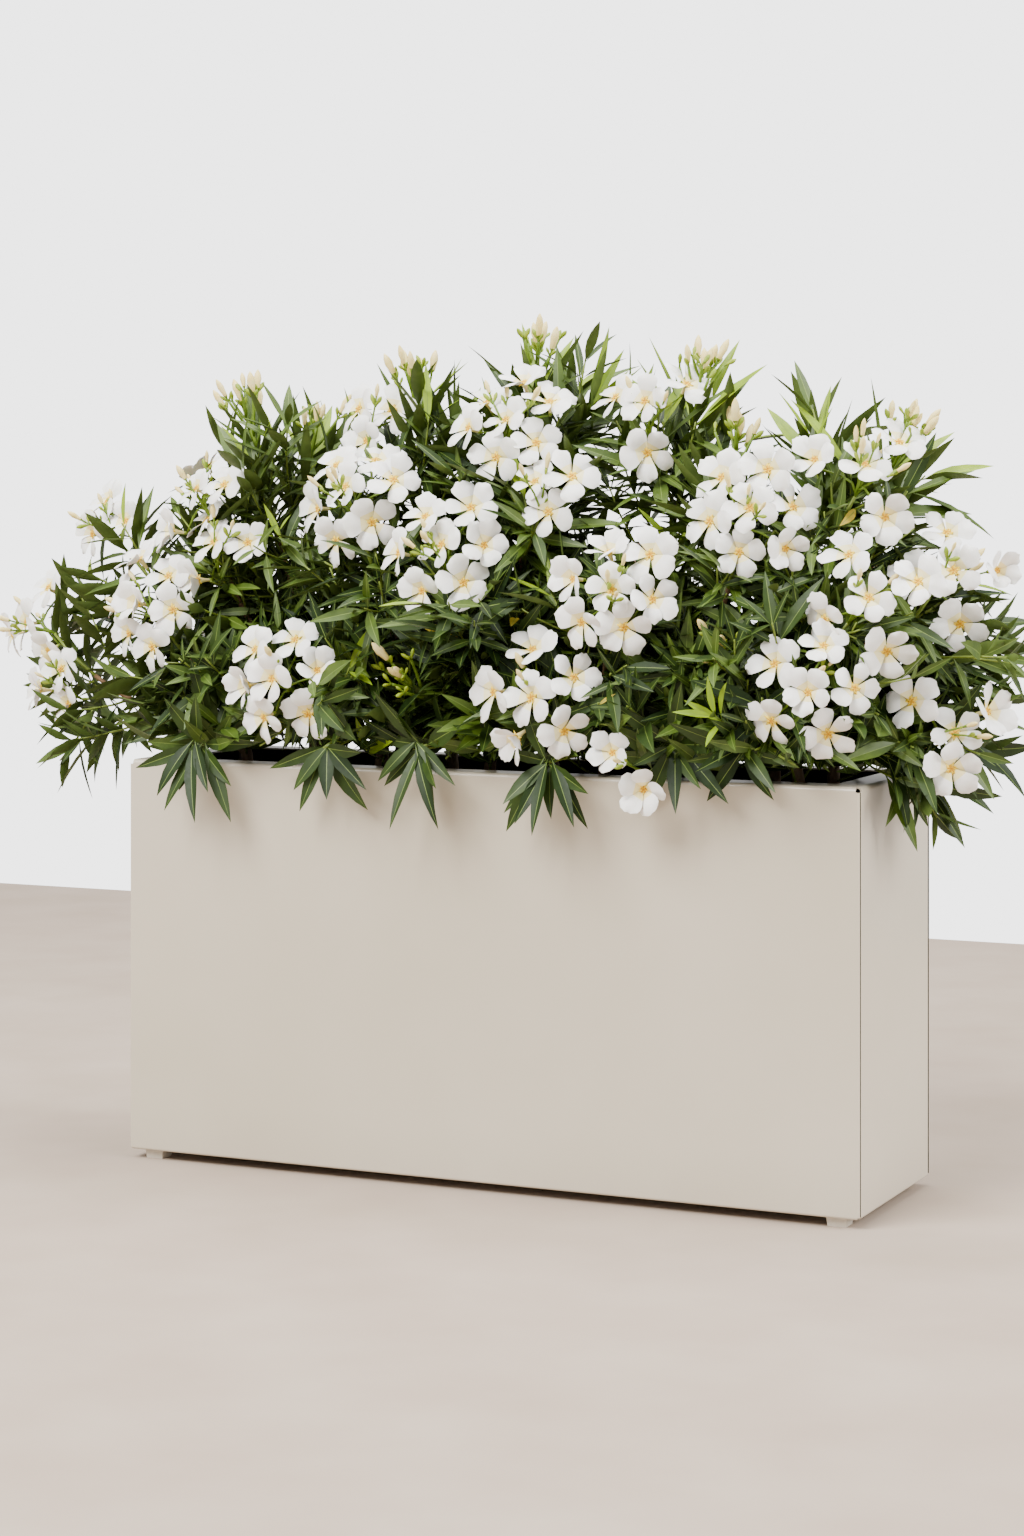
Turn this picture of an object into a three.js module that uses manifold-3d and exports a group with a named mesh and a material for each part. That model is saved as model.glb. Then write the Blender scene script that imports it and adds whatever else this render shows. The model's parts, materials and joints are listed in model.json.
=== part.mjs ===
// White oleander in a folded sheet-metal trough planter, in millimetres, +Z up.
// The trough's long front faces -Y. The ground is at Z = 0, and the origin is the
// bottom centre of the whole plant's box.
import * as THREE from "three";
import { mergeVertices } from "three/addons/utils/BufferGeometryUtils.js";
import Module from "manifold-3d";

const wasm = await Module();
wasm.setup();

// Planter sizes
const LENGTH = 1000;
const DEPTH = 280;
const BODY_HEIGHT = 510;
const FOOT_HEIGHT = 12;
const SHEET = 2;
const LIP = 40;
const LIP_BEND = { radius: 4, outerSteps: 4, innerSteps: 3 };
const LOW_BEND = { radius: 3, outerSteps: 3, innerSteps: 2 };
const BOTTOM_RETURN = 24;
const SIDE_RETURN = 20;
const SEAM = 0.3;
const CORNER_HOLE = { radius: 3, sides: 8 };
const RIM = FOOT_HEIGHT + BODY_HEIGHT;
const BASE_GAP = { end: 2, face: 1 };
const FOOT = { width: 26, taper: 2, fromEnd: 18, fromFace: 9 };

// Soil sizes
const SOIL_TOP = RIM - 42;
const SOIL = { gap: 0.5, fall: 6, shoulder: 60 };

// Stem and bough sizes. The flare is the swelling at a stem's foot.
const CLEARANCE = 0.3;
const STEM = { foot: 8, tip: 4.4, flare: 5, flareHeight: 16, sides: 5 };
const BOUGH = { foot: 5.2, tip: 3.8, sides: 5 };
const STEM_RINGS = [0, 0.06, 0.25, 0.5, 0.75, 1];
const BOUGH_RINGS = [0, 0.33, 0.67, 1];
const BEND = { pull: 0.35, upward: 0.25 };

// Where the shoot of a mass points from, as shares of its head's place
const LEAN = { x: 0.62, y: 0.25, z: 0.25, below: 60, leastAboveRim: 23 };

// Foliage sizes
const SHOOT = { least: 170, share: 0.5, fork: 45, foot: 3.4, tip: 2.4 };
const SIDE = { every: 46, from: 0.06, to: 0.9, length: 105, vary: 0.3, foot: 2.4, tip: 1.7 };
const SIDE_LEAN = { angle: 60, vary: 14 };
const SHOOT_TRIES = [1, 0.75, 0.5];
const LEAF = { length: 150, width: 45, fold: 4.5, widest: 0.42, vary: 0.32 };
const LEAVES = { each: 20, apart: 21 };
const LEAF_TRIES = { count: 12, turn: 49, shorter: 0.055, lean: 9, leans: 3 };
const WHORL = { every: 46, first: 20, low: 68, top: 34, vary: 16, turn: 60 };
const SIDE_WHORL = { at: 0.55, middle: 52, end: 26 };
const GOLDEN = 137.5;
const FLOWER = { radius: 34, notch: 0.62, depth: 21, cup: 5, boss: 2 };
const CLUSTER = { ring: 63, vary: 0.25, behind: 0.22, facing: 0.7, turn: 143.5 };
const PEDICEL = { foot: 2, tip: 1.5, intoFlower: 4, intoShoot: 2 };
const BUD = { length: 68, vary: 0.4, width: 13, widest: 0.72, lean: 34, leanVary: 0.5, upright: 4 };
const SUNK = 1;

// Rules for keeping apart
const CELL_MARGIN = 0.6;
const SITE_SHARE = 0.45;
const REACH = { share: 0.5, more: 112, pastHead: 32 };
const LIMB_ROOM = 5;
const LIMB_LENGTHS = 10;
const PLANTER_ROOM = 2;
const SPREAD = 9;
const CROSSING = 0.7;

// Which draw of chance each measure takes
const DRAW = { length: 1, lean: 2, turn: 3, order: 4, ring: 5, whorlOnSide: 20, whorlAtEnd: 21 };

// The crown's plan. Each line is one mass of foliage: where its head of flowers or buds
// is (X and Z across and up, Y to the back), how many it holds, and what bears it: a stem
// of its own from a place in the soil, a bough of its own off an earlier stem partway up,
// or, where it says straight, that stem itself.
const CROWN = [
  { name: "far_left", head: [-540, -110, 725], flowers: 4, soil: [-385, -30] },
  { name: "far_left_low", head: [-728, -30, 650], flowers: 3, on: "far_left", at: 0.3 },
  { name: "front_left", head: [-440, -185, 590], on: "far_left", at: 0.34, straight: true },
  { name: "top_left", head: [-420, 0, 985], buds: 4, soil: [-300, 20] },
  { name: "left_shoulder", head: [-455, -80, 850], flowers: 4, on: "top_left", at: 0.4 },
  { name: "left_edge", head: [-608, -10, 832], flowers: 3, on: "top_left", at: 0.26 },
  { name: "upper_left", head: [-190, -115, 880], flowers: 4, soil: [-190, -30] },
  { name: "low_left", head: [-265, -190, 645], flowers: 4, on: "upper_left", at: 0.3, straight: true },
  { name: "top_mid_left", head: [-175, 15, 1010], buds: 4, soil: [-120, 45] },
  { name: "back_mid_left", head: [-190, 170, 720], flowers: 2, on: "top_mid_left", at: 0.26 },
  { name: "upper_middle", head: [35, -90, 950], flowers: 4, soil: [-30, -40] },
  { name: "centre_left", head: [-55, -160, 805], flowers: 4, on: "upper_middle", at: 0.42, straight: true },
  { name: "front_middle", head: [-75, -185, 640], buds: 3, on: "upper_middle", at: 0.24, straight: true },
  { name: "top_middle", head: [0, 30, 1060], buds: 4, soil: [25, 45] },
  { name: "centre_right", head: [205, -190, 755], flowers: 4, soil: [130, -35] },
  { name: "low_middle", head: [105, -200, 620], flowers: 4, on: "centre_right", at: 0.3, straight: true },
  { name: "top_mid_right", head: [245, 10, 1020], buds: 4, soil: [190, 40] },
  { name: "back_mid_right", head: [125, 175, 720], flowers: 2, on: "top_mid_right", at: 0.26 },
  { name: "right_shoulder", head: [370, -140, 855], flowers: 4, soil: [260, -35] },
  { name: "front_right", head: [290, -185, 640], buds: 3, on: "right_shoulder", at: 0.3, straight: true },
  { name: "low_right", head: [460, -190, 640], flowers: 4, on: "right_shoulder", at: 0.24 },
  { name: "top_right", head: [515, 5, 935], buds: 4, soil: [335, 20] },
  { name: "high_right", head: [480, -60, 905], flowers: 3, on: "top_right", at: 0.6 },
  { name: "right", head: [520, -165, 745], flowers: 3, soil: [395, -45] },
  { name: "far_right", head: [590, -35, 770], flowers: 3, soil: [415, 15] },
  { name: "far_right_low", head: [588, -85, 600], flowers: 3, on: "far_right", at: 0.36, straight: true },
  { name: "back_left", head: [-475, 150, 690], flowers: 2, soil: [-345, 75] },
  { name: "back_right", head: [420, 165, 700], flowers: 2, soil: [300, 80] },
];

const PAINT = { color: 0xd6d1c6, roughness: 0.55, metalness: 0.1 };
const MATERIALS = {
  paint: new THREE.MeshStandardMaterial(PAINT),
  foot: new THREE.MeshStandardMaterial({ color: 0xbdb8ac, roughness: 0.7, metalness: 0 }),
  soil: new THREE.MeshStandardMaterial({ color: 0x2a211a, roughness: 1, metalness: 0 }),
  bark: new THREE.MeshStandardMaterial({ color: 0x7d6650, roughness: 0.9, metalness: 0 }),
  foliage: new THREE.MeshStandardMaterial({ color: 0x3f5f2f, roughness: 0.6, metalness: 0 }),
};

const UP = new THREE.Vector3(0, 0, 1);
const vec = (x, y, z) => new THREE.Vector3(x, y, z);
const along = (from, direction, distance) => from.clone().addScaledVector(direction, distance);
const radians = THREE.MathUtils.degToRad;

// The same number between 0 and 1 for the same keys, each time.
function chance(...keys) {
  const mixed = keys.reduce((sum, key, i) => sum + key * (12.9898 + 65.2431 * i), 0.5);
  const wave = Math.sin(mixed) * 43758.5453;
  return wave - Math.floor(wave);
}

// A size or angle up to half the spread more or less than its middle.
const about = (middle, spread, ...keys) => middle + spread * (chance(...keys) - 0.5);

// Solids and geometries
function solidOf(geometry) {
  const bare = geometry.clone();
  bare.deleteAttribute("normal");
  bare.deleteAttribute("uv");
  const merged = mergeVertices(bare, 1e-4);
  return new wasm.Manifold(
    new wasm.Mesh({
      numProp: 3,
      vertProperties: merged.attributes.position.array,
      triVerts: new Uint32Array(merged.index.array),
    }),
  );
}

function geometryOf(solid) {
  const mesh = solid.getMesh();
  const points = new Float32Array(mesh.numVert * 3);
  for (let i = 0; i < mesh.numVert; i++) {
    points.set(mesh.vertProperties.subarray(i * mesh.numProp, i * mesh.numProp + 3), i * 3);
  }
  const geometry = new THREE.BufferGeometry();
  geometry.setAttribute("position", new THREE.BufferAttribute(points, 3));
  geometry.setIndex(new THREE.BufferAttribute(mesh.triVerts, 1));
  geometry.computeVertexNormals();
  return geometry;
}

function polyhedron(points, faces) {
  const geometry = new THREE.BufferGeometry();
  const flat = new Float32Array(points.flatMap((p) => [p.x, p.y, p.z]));
  geometry.setAttribute("position", new THREE.BufferAttribute(flat, 3));
  geometry.setIndex(faces.flat());
  return solidOf(geometry);
}

function joinAll(solids) {
  return wasm.Manifold.union(solids);
}

function block(size, centre) {
  return new THREE.BoxGeometry(...size).translate(...centre);
}

// A tapering tube through the centres, with a ring of corners at each. Its flat ends
// are square to the tube, or to the given first and last headings.
function tube(centres, radii, sides, first, last) {
  const points = [];
  const faces = [];
  let side = null;
  centres.forEach((centre, i) => {
    const before = centres[Math.max(i - 1, 0)];
    const after = centres[Math.min(i + 1, centres.length - 1)];
    const given = i === 0 ? first : i === centres.length - 1 ? last : undefined;
    const heading = given ?? after.clone().sub(before).normalize();
    side = (side ?? (Math.abs(heading.x) < 0.8 ? vec(1, 0, 0) : vec(0, 1, 0))).clone();
    side.addScaledVector(heading, -side.dot(heading)).normalize();
    const other = heading.clone().cross(side);
    for (let k = 0; k < sides; k++) {
      const turn = (2 * Math.PI * k) / sides;
      const spoke = side.clone().multiplyScalar(Math.cos(turn));
      spoke.addScaledVector(other, Math.sin(turn));
      points.push(along(centre, spoke, radii[i]));
    }
  });
  const end = (centres.length - 1) * sides;
  for (let k = 0; k < sides; k++) {
    const next = (k + 1) % sides;
    for (let i = 0; i < end; i += sides) {
      faces.push([i + k, i + next, i + sides + next], [i + k, i + sides + next, i + sides + k]);
    }
    if (k > 0 && k < sides - 1) {
      faces.push([0, k + 1, k], [end, end + k, end + k + 1]);
    }
  }
  return polyhedron(points, faces);
}

// Planter panels
// A panel's section, in (inward, up): lip, bend, face and bottom return, as one folded sheet.
function foldedSection() {
  const bend = (cx, cy, radius, from, to, steps) =>
    Array.from({ length: steps + 1 }, (_, i) => {
      const turn = radians(from + ((to - from) * i) / steps);
      return [cx + radius * Math.cos(turn), cy + radius * Math.sin(turn)];
    });
  const low = FOOT_HEIGHT;
  const topBend = LIP_BEND.radius;
  const lowBend = LOW_BEND.radius;
  return [
    [LIP, RIM],
    ...bend(topBend, RIM - topBend, topBend, 90, 180, LIP_BEND.outerSteps),
    ...bend(lowBend, low + lowBend, lowBend, 180, 270, LOW_BEND.outerSteps),
    [BOTTOM_RETURN, low],
    [BOTTOM_RETURN, low + SHEET],
    ...bend(lowBend, low + lowBend, lowBend - SHEET, 270, 180, LOW_BEND.innerSteps),
    ...bend(topBend, RIM - topBend, topBend - SHEET, 180, 90, LIP_BEND.innerSteps),
    [LIP, RIM - SHEET],
  ];
}

// The folded section run along X, with its face on the plane Y = -DEPTH / 2.
function foldedRun(length, faceAt) {
  const outline = new THREE.Shape(foldedSection().map(([x, y]) => new THREE.Vector2(x, y)));
  const run = new THREE.ExtrudeGeometry(outline, { depth: length, bevelEnabled: false });
  const toFront = new THREE.Matrix4().makeBasis(vec(0, 1, 0), vec(0, 0, 1), vec(1, 0, 0));
  return run.applyMatrix4(toFront).translate(-length / 2, -faceAt, 0);
}

// What lies past the mitre at both ends of a panel, to cut away.
function mitre(halfLength, faceAt, gap) {
  const reach = 3 * LIP;
  const deep = 2 * LIP + BOTTOM_RETURN;
  const wedge = (hand) => {
    const outline = new THREE.Shape([
      new THREE.Vector2(hand * (halfLength + gap), -faceAt - LIP),
      new THREE.Vector2(hand * (halfLength + LIP + gap), -faceAt - LIP),
      new THREE.Vector2(hand * (halfLength + LIP + reach), -faceAt + deep),
      new THREE.Vector2(hand * (halfLength - deep - gap), -faceAt + deep),
      new THREE.Vector2(hand * (halfLength - gap), -faceAt),
    ]);
    const tall = { depth: 2 * RIM, bevelEnabled: false };
    return solidOf(new THREE.ExtrudeGeometry(outline, tall).translate(0, 0, -RIM / 2));
  };
  return joinAll([wedge(1), wedge(-1)]);
}

// The small round relief where the lip's bends meet at each corner.
function cornerHoles() {
  const { radius, sides } = CORNER_HOLE;
  const holes = [];
  for (const x of [-1, 1]) {
    for (const y of [-1, 1]) {
      const hole = new THREE.CylinderGeometry(radius, radius, 3 * LIP_BEND.radius, sides);
      hole.rotateX(Math.PI / 2);
      hole.translate(x * (LENGTH - radius) / 2, y * (DEPTH - radius) / 2, RIM);
      holes.push(solidOf(hole));
    }
  }
  return joinAll(holes);
}

// The front and back cover the corners, and the ends of their faces stay square.
function longPanel() {
  const sheet = solidOf(foldedRun(LENGTH, DEPTH / 2));
  const tall = BODY_HEIGHT - LIP_BEND.radius - LOW_BEND.radius;
  const middle = FOOT_HEIGHT + LOW_BEND.radius + tall / 2;
  const face = solidOf(block([LENGTH, SHEET, tall], [0, (SHEET - DEPTH) / 2, middle]));
  return sheet.subtract(mitre(LENGTH / 2, DEPTH / 2, SEAM)).add(face).subtract(cornerHoles());
}

// The rounded fold at one end of a side panel's face, as the bar to cut away from it.
function foldCut(hand, edge) {
  const face = -LENGTH / 2;
  const bend = LOW_BEND.radius;
  const outline = new THREE.Shape();
  outline.moveTo(hand * (edge - bend), face - 1);
  outline.lineTo(hand * (edge + 1), face - 1);
  outline.lineTo(hand * (edge + 1), face + bend);
  for (let i = 0; i < LOW_BEND.outerSteps + 1; i++) {
    const turn = (Math.PI / 2) * (i / (LOW_BEND.outerSteps + 1));
    const inward = bend - bend * Math.cos(turn);
    outline.lineTo(hand * (edge - inward), face + bend - bend * Math.sin(turn));
  }
  const tall = { depth: BODY_HEIGHT - 2 * LIP_BEND.radius, bevelEnabled: false };
  return solidOf(new THREE.ExtrudeGeometry(outline, tall).translate(0, 0, FOOT_HEIGHT + LIP_BEND.radius));
}

// The sides sit between them, with returned edges behind their faces. Made facing -Y.
function shortPanel() {
  const edge = DEPTH / 2 - SHEET - SEAM;
  const tall = BODY_HEIGHT - 2 * (LIP_BEND.radius + SHEET);
  const middle = FOOT_HEIGHT + BODY_HEIGHT / 2;
  const inside = (SIDE_RETURN + SHEET - LENGTH) / 2;
  const returns = [1, -1].map((hand) =>
    solidOf(block([SHEET, SIDE_RETURN, tall], [hand * (edge - SHEET / 2), inside, middle])),
  );
  const mitred = solidOf(foldedRun(DEPTH, LENGTH / 2)).subtract(mitre(DEPTH / 2, LENGTH / 2, SEAM));
  const face = mitred.intersect(solidOf(foldedRun(2 * edge, LENGTH / 2)));
  const folds = joinAll([foldCut(1, edge), foldCut(-1, edge)]);
  return joinAll([face, ...returns]).subtract(folds);
}

function planterMeshes() {
  const turned = (solid, degrees) => solid.rotate([0, 0, degrees]);
  const long = longPanel();
  const short = (degrees) => turned(shortPanel(), degrees).subtract(cornerHoles());
  const base = block(
    [LENGTH - 2 * (SHEET + SIDE_RETURN + BASE_GAP.end), DEPTH - 2 * (2 * SHEET + BASE_GAP.face), SHEET],
    [0, 0, FOOT_HEIGHT + SHEET + CLEARANCE + SHEET / 2],
  );
  const meshes = [
    meshOf("planter_front", geometryOf(long), MATERIALS.paint),
    meshOf("planter_back", geometryOf(turned(long, 180)), MATERIALS.paint),
    meshOf("planter_left", geometryOf(short(-90)), MATERIALS.paint),
    meshOf("planter_right", geometryOf(short(90)), MATERIALS.paint),
    meshOf("planter_base", base, MATERIALS.paint),
  ];
  for (const [row, y] of Object.entries({ front: -1, back: 1 })) {
    for (const [end, x] of Object.entries({ left: -1, right: 1 })) {
      meshes.push(footMesh(`foot_${row}_${end}`, x, y));
    }
  }
  return meshes;
}

// A tapered square pad under the bottom returns.
function footMesh(name, x, y) {
  const tall = FOOT_HEIGHT - CLEARANCE;
  const across = Math.SQRT1_2 * FOOT.width;
  const pad = new THREE.CylinderGeometry(across, across - FOOT.taper, tall, 4);
  pad.rotateY(Math.PI / 4).rotateX(Math.PI / 2);
  const mesh = meshOf(name, pad, MATERIALS.foot);
  mesh.position.set(
    x * (LENGTH / 2 - FOOT.fromEnd - FOOT.width / 2),
    y * (DEPTH / 2 - FOOT.fromFace - FOOT.width / 2),
    tall / 2,
  );
  return mesh;
}

// Potting soil that fills the box up to below the lip, a little lower at the ends.
function soilMesh() {
  const low = FOOT_HEIGHT + 2 * SHEET + 2 * CLEARANCE;
  const halfX = LENGTH / 2 - SHEET - SIDE_RETURN - 2 * SOIL.gap;
  const halfY = DEPTH / 2 - 2 * SHEET - SEAM - SOIL.gap;
  const outline = new THREE.Shape([
    new THREE.Vector2(-halfX, low),
    new THREE.Vector2(halfX, low),
    new THREE.Vector2(halfX, SOIL_TOP - SOIL.fall),
    new THREE.Vector2(halfX - SOIL.shoulder, SOIL_TOP),
    new THREE.Vector2(-halfX + SOIL.shoulder, SOIL_TOP),
    new THREE.Vector2(-halfX, SOIL_TOP - SOIL.fall),
  ]);
  const fill = new THREE.ExtrudeGeometry(outline, { depth: 2 * halfY, bevelEnabled: false });
  fill.rotateX(Math.PI / 2).translate(0, halfY, 0);
  return meshOf("soil", fill, MATERIALS.soil);
}

// Limbs
// How a mass grows: where its head is, which way, and where its own shoot starts.
function growthTo(head, heading, length) {
  return {
    head,
    heading,
    length,
    collar: along(head, heading, -length),
    fork: along(head, heading, -SHOOT.fork),
    site: along(head, heading, -SITE_SHARE * length),
    reach: REACH.share * length + REACH.more,
  };
}

function growthFromLimb(plan) {
  const head = vec(...plan.head);
  const rise = SOIL_TOP - LEAN.below + LEAN.z * (head.z - SOIL_TOP);
  const pointsFrom = vec(LEAN.x * head.x, LEAN.y * head.y, Math.max(RIM + LEAN.leastAboveRim, rise));
  const heading = head.clone().sub(pointsFrom).normalize();
  return growthTo(head, heading, Math.max(SHOOT.least, SHOOT.share * (head.z - RIM)));
}

// A shoot straight off a stem: its collar is where its middle line leaves the bark.
function growthFromStem(plan, stem) {
  const head = vec(...plan.head);
  const root = stem.at(plan.at);
  const heading = head.clone().sub(root).normalize();
  const stemHeading = stem.at(plan.at + 0.05).sub(stem.at(plan.at - 0.05)).normalize();
  const cosine = heading.dot(stemHeading);
  const bark = limbRadius(plan.at, STEM, stem.length) / Math.sqrt(1 - cosine * cosine);
  return { ...growthTo(head, heading, head.distanceTo(root) - bark), root };
}

function bezier(a, b, c, d, t) {
  const s = 1 - t;
  return vec(0, 0, 0)
    .addScaledVector(a, s * s * s)
    .addScaledVector(b, 3 * s * s * t)
    .addScaledVector(c, 3 * s * t * t)
    .addScaledVector(d, t * t * t);
}

// A limb's line, from the soil or from a place on its stem to the collar of its mass.
function limbLine(mass, stems) {
  const { plan, growth } = mass;
  const end = along(growth.collar, growth.heading, -CLEARANCE);
  const onStem = plan.on !== undefined;
  const start = onStem ? stems[plan.on].at(plan.at) : vec(...plan.soil, SOIL_TOP + CLEARANCE);
  const pull = BEND.pull * start.distanceTo(end);
  const outward = end.clone().sub(start).normalize();
  const rising = onStem ? outward.lerp(UP, BEND.upward).normalize() : UP;
  const at = (t) =>
    bezier(start, along(start, rising, pull), along(end, growth.heading, -pull), end, t);
  return { at, start, end, rising, heading: growth.heading };
}

function limbRadius(t, size, length) {
  const flare = size.flare ? size.flare * Math.exp((-t * length) / size.flareHeight) : 0;
  return size.foot + (size.tip - size.foot) * t + flare;
}

function limbTube(line, size, rings, extra = 0) {
  const length = line.start.distanceTo(line.end);
  return tube(
    rings.map((t) => line.at(t)),
    rings.map((t) => limbRadius(t, size, length) + extra),
    size.sides,
    line.rising,
    line.heading,
  );
}

// Stems first, since boughs and some shoots start from them, just clear of their bark.
function growLimbs() {
  const stems = {};
  const masses = CROWN.map((plan) => ({ plan }));
  for (const mass of masses.filter((m) => m.plan.soil)) {
    mass.growth = growthFromLimb(mass.plan);
    mass.line = limbLine(mass, stems);
    mass.size = STEM;
    mass.limb = limbTube(mass.line, STEM, STEM_RINGS);
    stems[mass.plan.name] = {
      at: mass.line.at,
      length: mass.line.start.distanceTo(mass.line.end),
      around: limbTube(mass.line, STEM, STEM_RINGS, CLEARANCE / Math.cos(Math.PI / STEM.sides)),
    };
  }
  for (const mass of masses.filter((m) => m.plan.on)) {
    const stem = stems[mass.plan.on];
    if (mass.plan.straight) {
      mass.growth = growthFromStem(mass.plan, stem);
      mass.shoot = largest(shootTube(mass.growth).subtract(stem.around));
      continue;
    }
    mass.growth = growthFromLimb(mass.plan);
    mass.line = limbLine(mass, stems);
    mass.size = BOUGH;
    mass.limb = largest(limbTube(mass.line, BOUGH, BOUGH_RINGS).subtract(stem.around));
  }
  return masses;
}

function largest(solid) {
  return solid.decompose().sort((a, b) => b.volume() - a.volume())[0];
}

function shootTube({ root, collar, fork }) {
  return tube([root ?? collar, fork], [SHOOT.foot, SHOOT.tip], 3);
}

// Foliage
// A leaf folded along its rib, in four faces: root, tip, and two edges at its widest.
function leafSolid(root, heading, face, size) {
  const across = heading.clone().cross(face).normalize();
  const fold = along(along(root, heading, size.length * size.widest), face, size.fold);
  const points = [
    root,
    along(root, heading, size.length),
    along(fold, across, size.width / 2),
    along(fold, across, -size.width / 2),
  ];
  const faces = [
    [0, 2, 3],
    [1, 3, 2],
    [0, 1, 2],
    [1, 0, 3],
  ];
  return { points, faces };
}

// A bud of six faces, three-sided, plump towards its tip.
function budSolid(root, heading, length, turn) {
  const belly = along(root, heading, length * BUD.widest);
  const round = [0, 1, 2].map((k) => along(belly, leaning(heading, 90, turn + 120 * k), BUD.width / 2));
  const points = [root, along(root, heading, length), ...round];
  const faces = [0, 1, 2].flatMap((k) => {
    const here = 2 + k;
    const next = 2 + ((k + 1) % 3);
    return [
      [0, next, here],
      [1, here, next],
    ];
  });
  return { points, faces };
}

// A flower as one star with five lobes, hollowed in front and drawn out to its tube behind.
function flowerSolid(centre, facing, turn) {
  const side = Math.abs(facing.z) < 0.9 ? UP.clone().cross(facing) : vec(1, 0, 0).cross(facing);
  side.normalize();
  const other = facing.clone().cross(side);
  const points = [along(centre, facing, -FLOWER.boss), along(centre, facing, -FLOWER.depth)];
  const faces = [];
  for (let k = 0; k < 10; k++) {
    const angle = radians(turn + 36 * k);
    const lobe = k % 2 === 0;
    const radius = FLOWER.radius * (lobe ? 1 : FLOWER.notch);
    const rim = along(centre, side, radius * Math.cos(angle));
    rim.addScaledVector(other, radius * Math.sin(angle));
    points.push(along(rim, facing, lobe ? FLOWER.cup : 0));
    const here = 2 + k;
    const next = 2 + ((k + 1) % 10);
    faces.push([0, here, next], [1, next, here]);
  }
  return { points, faces };
}

// Whether points are in their own mass's cell, by the planes halfway to the other sites.
function insideCell(points, mass, masses) {
  return masses.every((other) => {
    if (other === mass) return true;
    const toOther = other.growth.site.clone().sub(mass.growth.site);
    const half = toOther.length() / 2;
    toOther.normalize();
    return points.every((p) => p.clone().sub(mass.growth.site).dot(toOther) < half - CELL_MARGIN);
  });
}

// Near enough to the mass's middle, and not far past its head.
function insideReach(points, mass) {
  const { site, head, heading, reach } = mass.growth;
  return points.every(
    (p) => p.distanceTo(site) < reach && p.clone().sub(head).dot(heading) < REACH.pastHead,
  );
}

// Points spread over a leaf or flower, a few millimetres apart between its corners.
function spreadOver(points) {
  const spread = [];
  points.forEach((a, i) => {
    for (const b of points.slice(i + 1)) {
      const steps = Math.ceil(a.distanceTo(b) / SPREAD);
      for (let k = 0; k <= steps; k++) spread.push(a.clone().lerp(b, k / steps));
    }
  });
  return spread;
}

function clearOfPlanter(points) {
  const room = PLANTER_ROOM;
  return points.every(
    (p) =>
      Math.abs(p.x) > LENGTH / 2 + room ||
      Math.abs(p.y) > DEPTH / 2 + room ||
      p.z > RIM + room ||
      (p.z > SOIL_TOP + room &&
        p.z < RIM - SHEET - room &&
        Math.abs(p.x) < LENGTH / 2 - SHEET - room &&
        Math.abs(p.y) < DEPTH / 2 - SHEET - room) ||
      (p.z > SOIL_TOP + room &&
        Math.abs(p.x) < LENGTH / 2 - LIP - room &&
        Math.abs(p.y) < DEPTH / 2 - LIP - room),
  );
}

function clearOfLimbs(points, mass, obstacles) {
  const extent = new THREE.Sphere().setFromPoints(points);
  return obstacles.every(({ owner, line, radius }) => {
    if (owner === mass) return true;
    const room = radius + LIMB_ROOM;
    if (distanceToLine(extent.center, line) > extent.radius + room) return true;
    return points.every((p) => distanceToLine(p, line) > room);
  });
}

const nearest = vec(0, 0, 0);

function distanceToLine(p, line) {
  return line.closestPointToPoint(p, true, nearest).distanceTo(p);
}

// Every limb and every mass's own shoot, as short straight lengths with a radius.
function obstaclesOf(masses) {
  const lengths = [];
  for (const mass of masses) {
    const steps = mass.line ? LIMB_LENGTHS : 0;
    const span = mass.line?.start.distanceTo(mass.line.end);
    for (let i = 0; i < steps; i++) {
      const radius = limbRadius(i / steps, mass.size, span);
      const line = new THREE.Line3(mass.line.at(i / steps), mass.line.at((i + 1) / steps));
      lengths.push({ owner: null, line, radius });
    }
    const shoot = new THREE.Line3(mass.growth.collar, mass.growth.fork);
    lengths.push({ owner: mass, line: shoot, radius: SHOOT.foot });
  }
  return lengths;
}

// A direction at an angle to the heading, turned round it.
function leaning(heading, lean, turn) {
  const level = Math.abs(heading.z) < 0.95 ? UP.clone().cross(heading) : vec(1, 0, 0);
  level.addScaledVector(heading, -level.dot(heading)).normalize();
  const other = heading.clone().cross(level);
  const outward = level.multiplyScalar(Math.cos(radians(turn)));
  outward.addScaledVector(other, Math.sin(radians(turn)));
  return heading
    .clone()
    .multiplyScalar(Math.cos(radians(lean)))
    .addScaledVector(outward, Math.sin(radians(lean)))
    .normalize();
}

// The leaf at a place on a twig: each try is turned further round, and shorter.
function leafAt({ at, heading, lean, turn, keys }, attempt) {
  const flatter = LEAF_TRIES.lean * (attempt % LEAF_TRIES.leans);
  const tilt = about(lean, WHORL.vary, ...keys, DRAW.lean) + flatter;
  const way = leaning(heading, tilt, turn + LEAF_TRIES.turn * attempt);
  const face = heading.clone().addScaledVector(way, -heading.dot(way)).normalize();
  const share = about(1, LEAF.vary, ...keys, DRAW.length) * (1 - LEAF_TRIES.shorter * attempt);
  const size = { ...LEAF, length: LEAF.length * share, width: LEAF.width * Math.sqrt(share) };
  return leafSolid(at, way, face, size);
}

// Places for three leaves round a point of a shoot.
function whorl(at, heading, lean, turn, keys, side) {
  return [0, 1, 2].map((k) => ({ at, heading, lean, turn: turn + 120 * k, keys: [...keys, k], side }));
}

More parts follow.
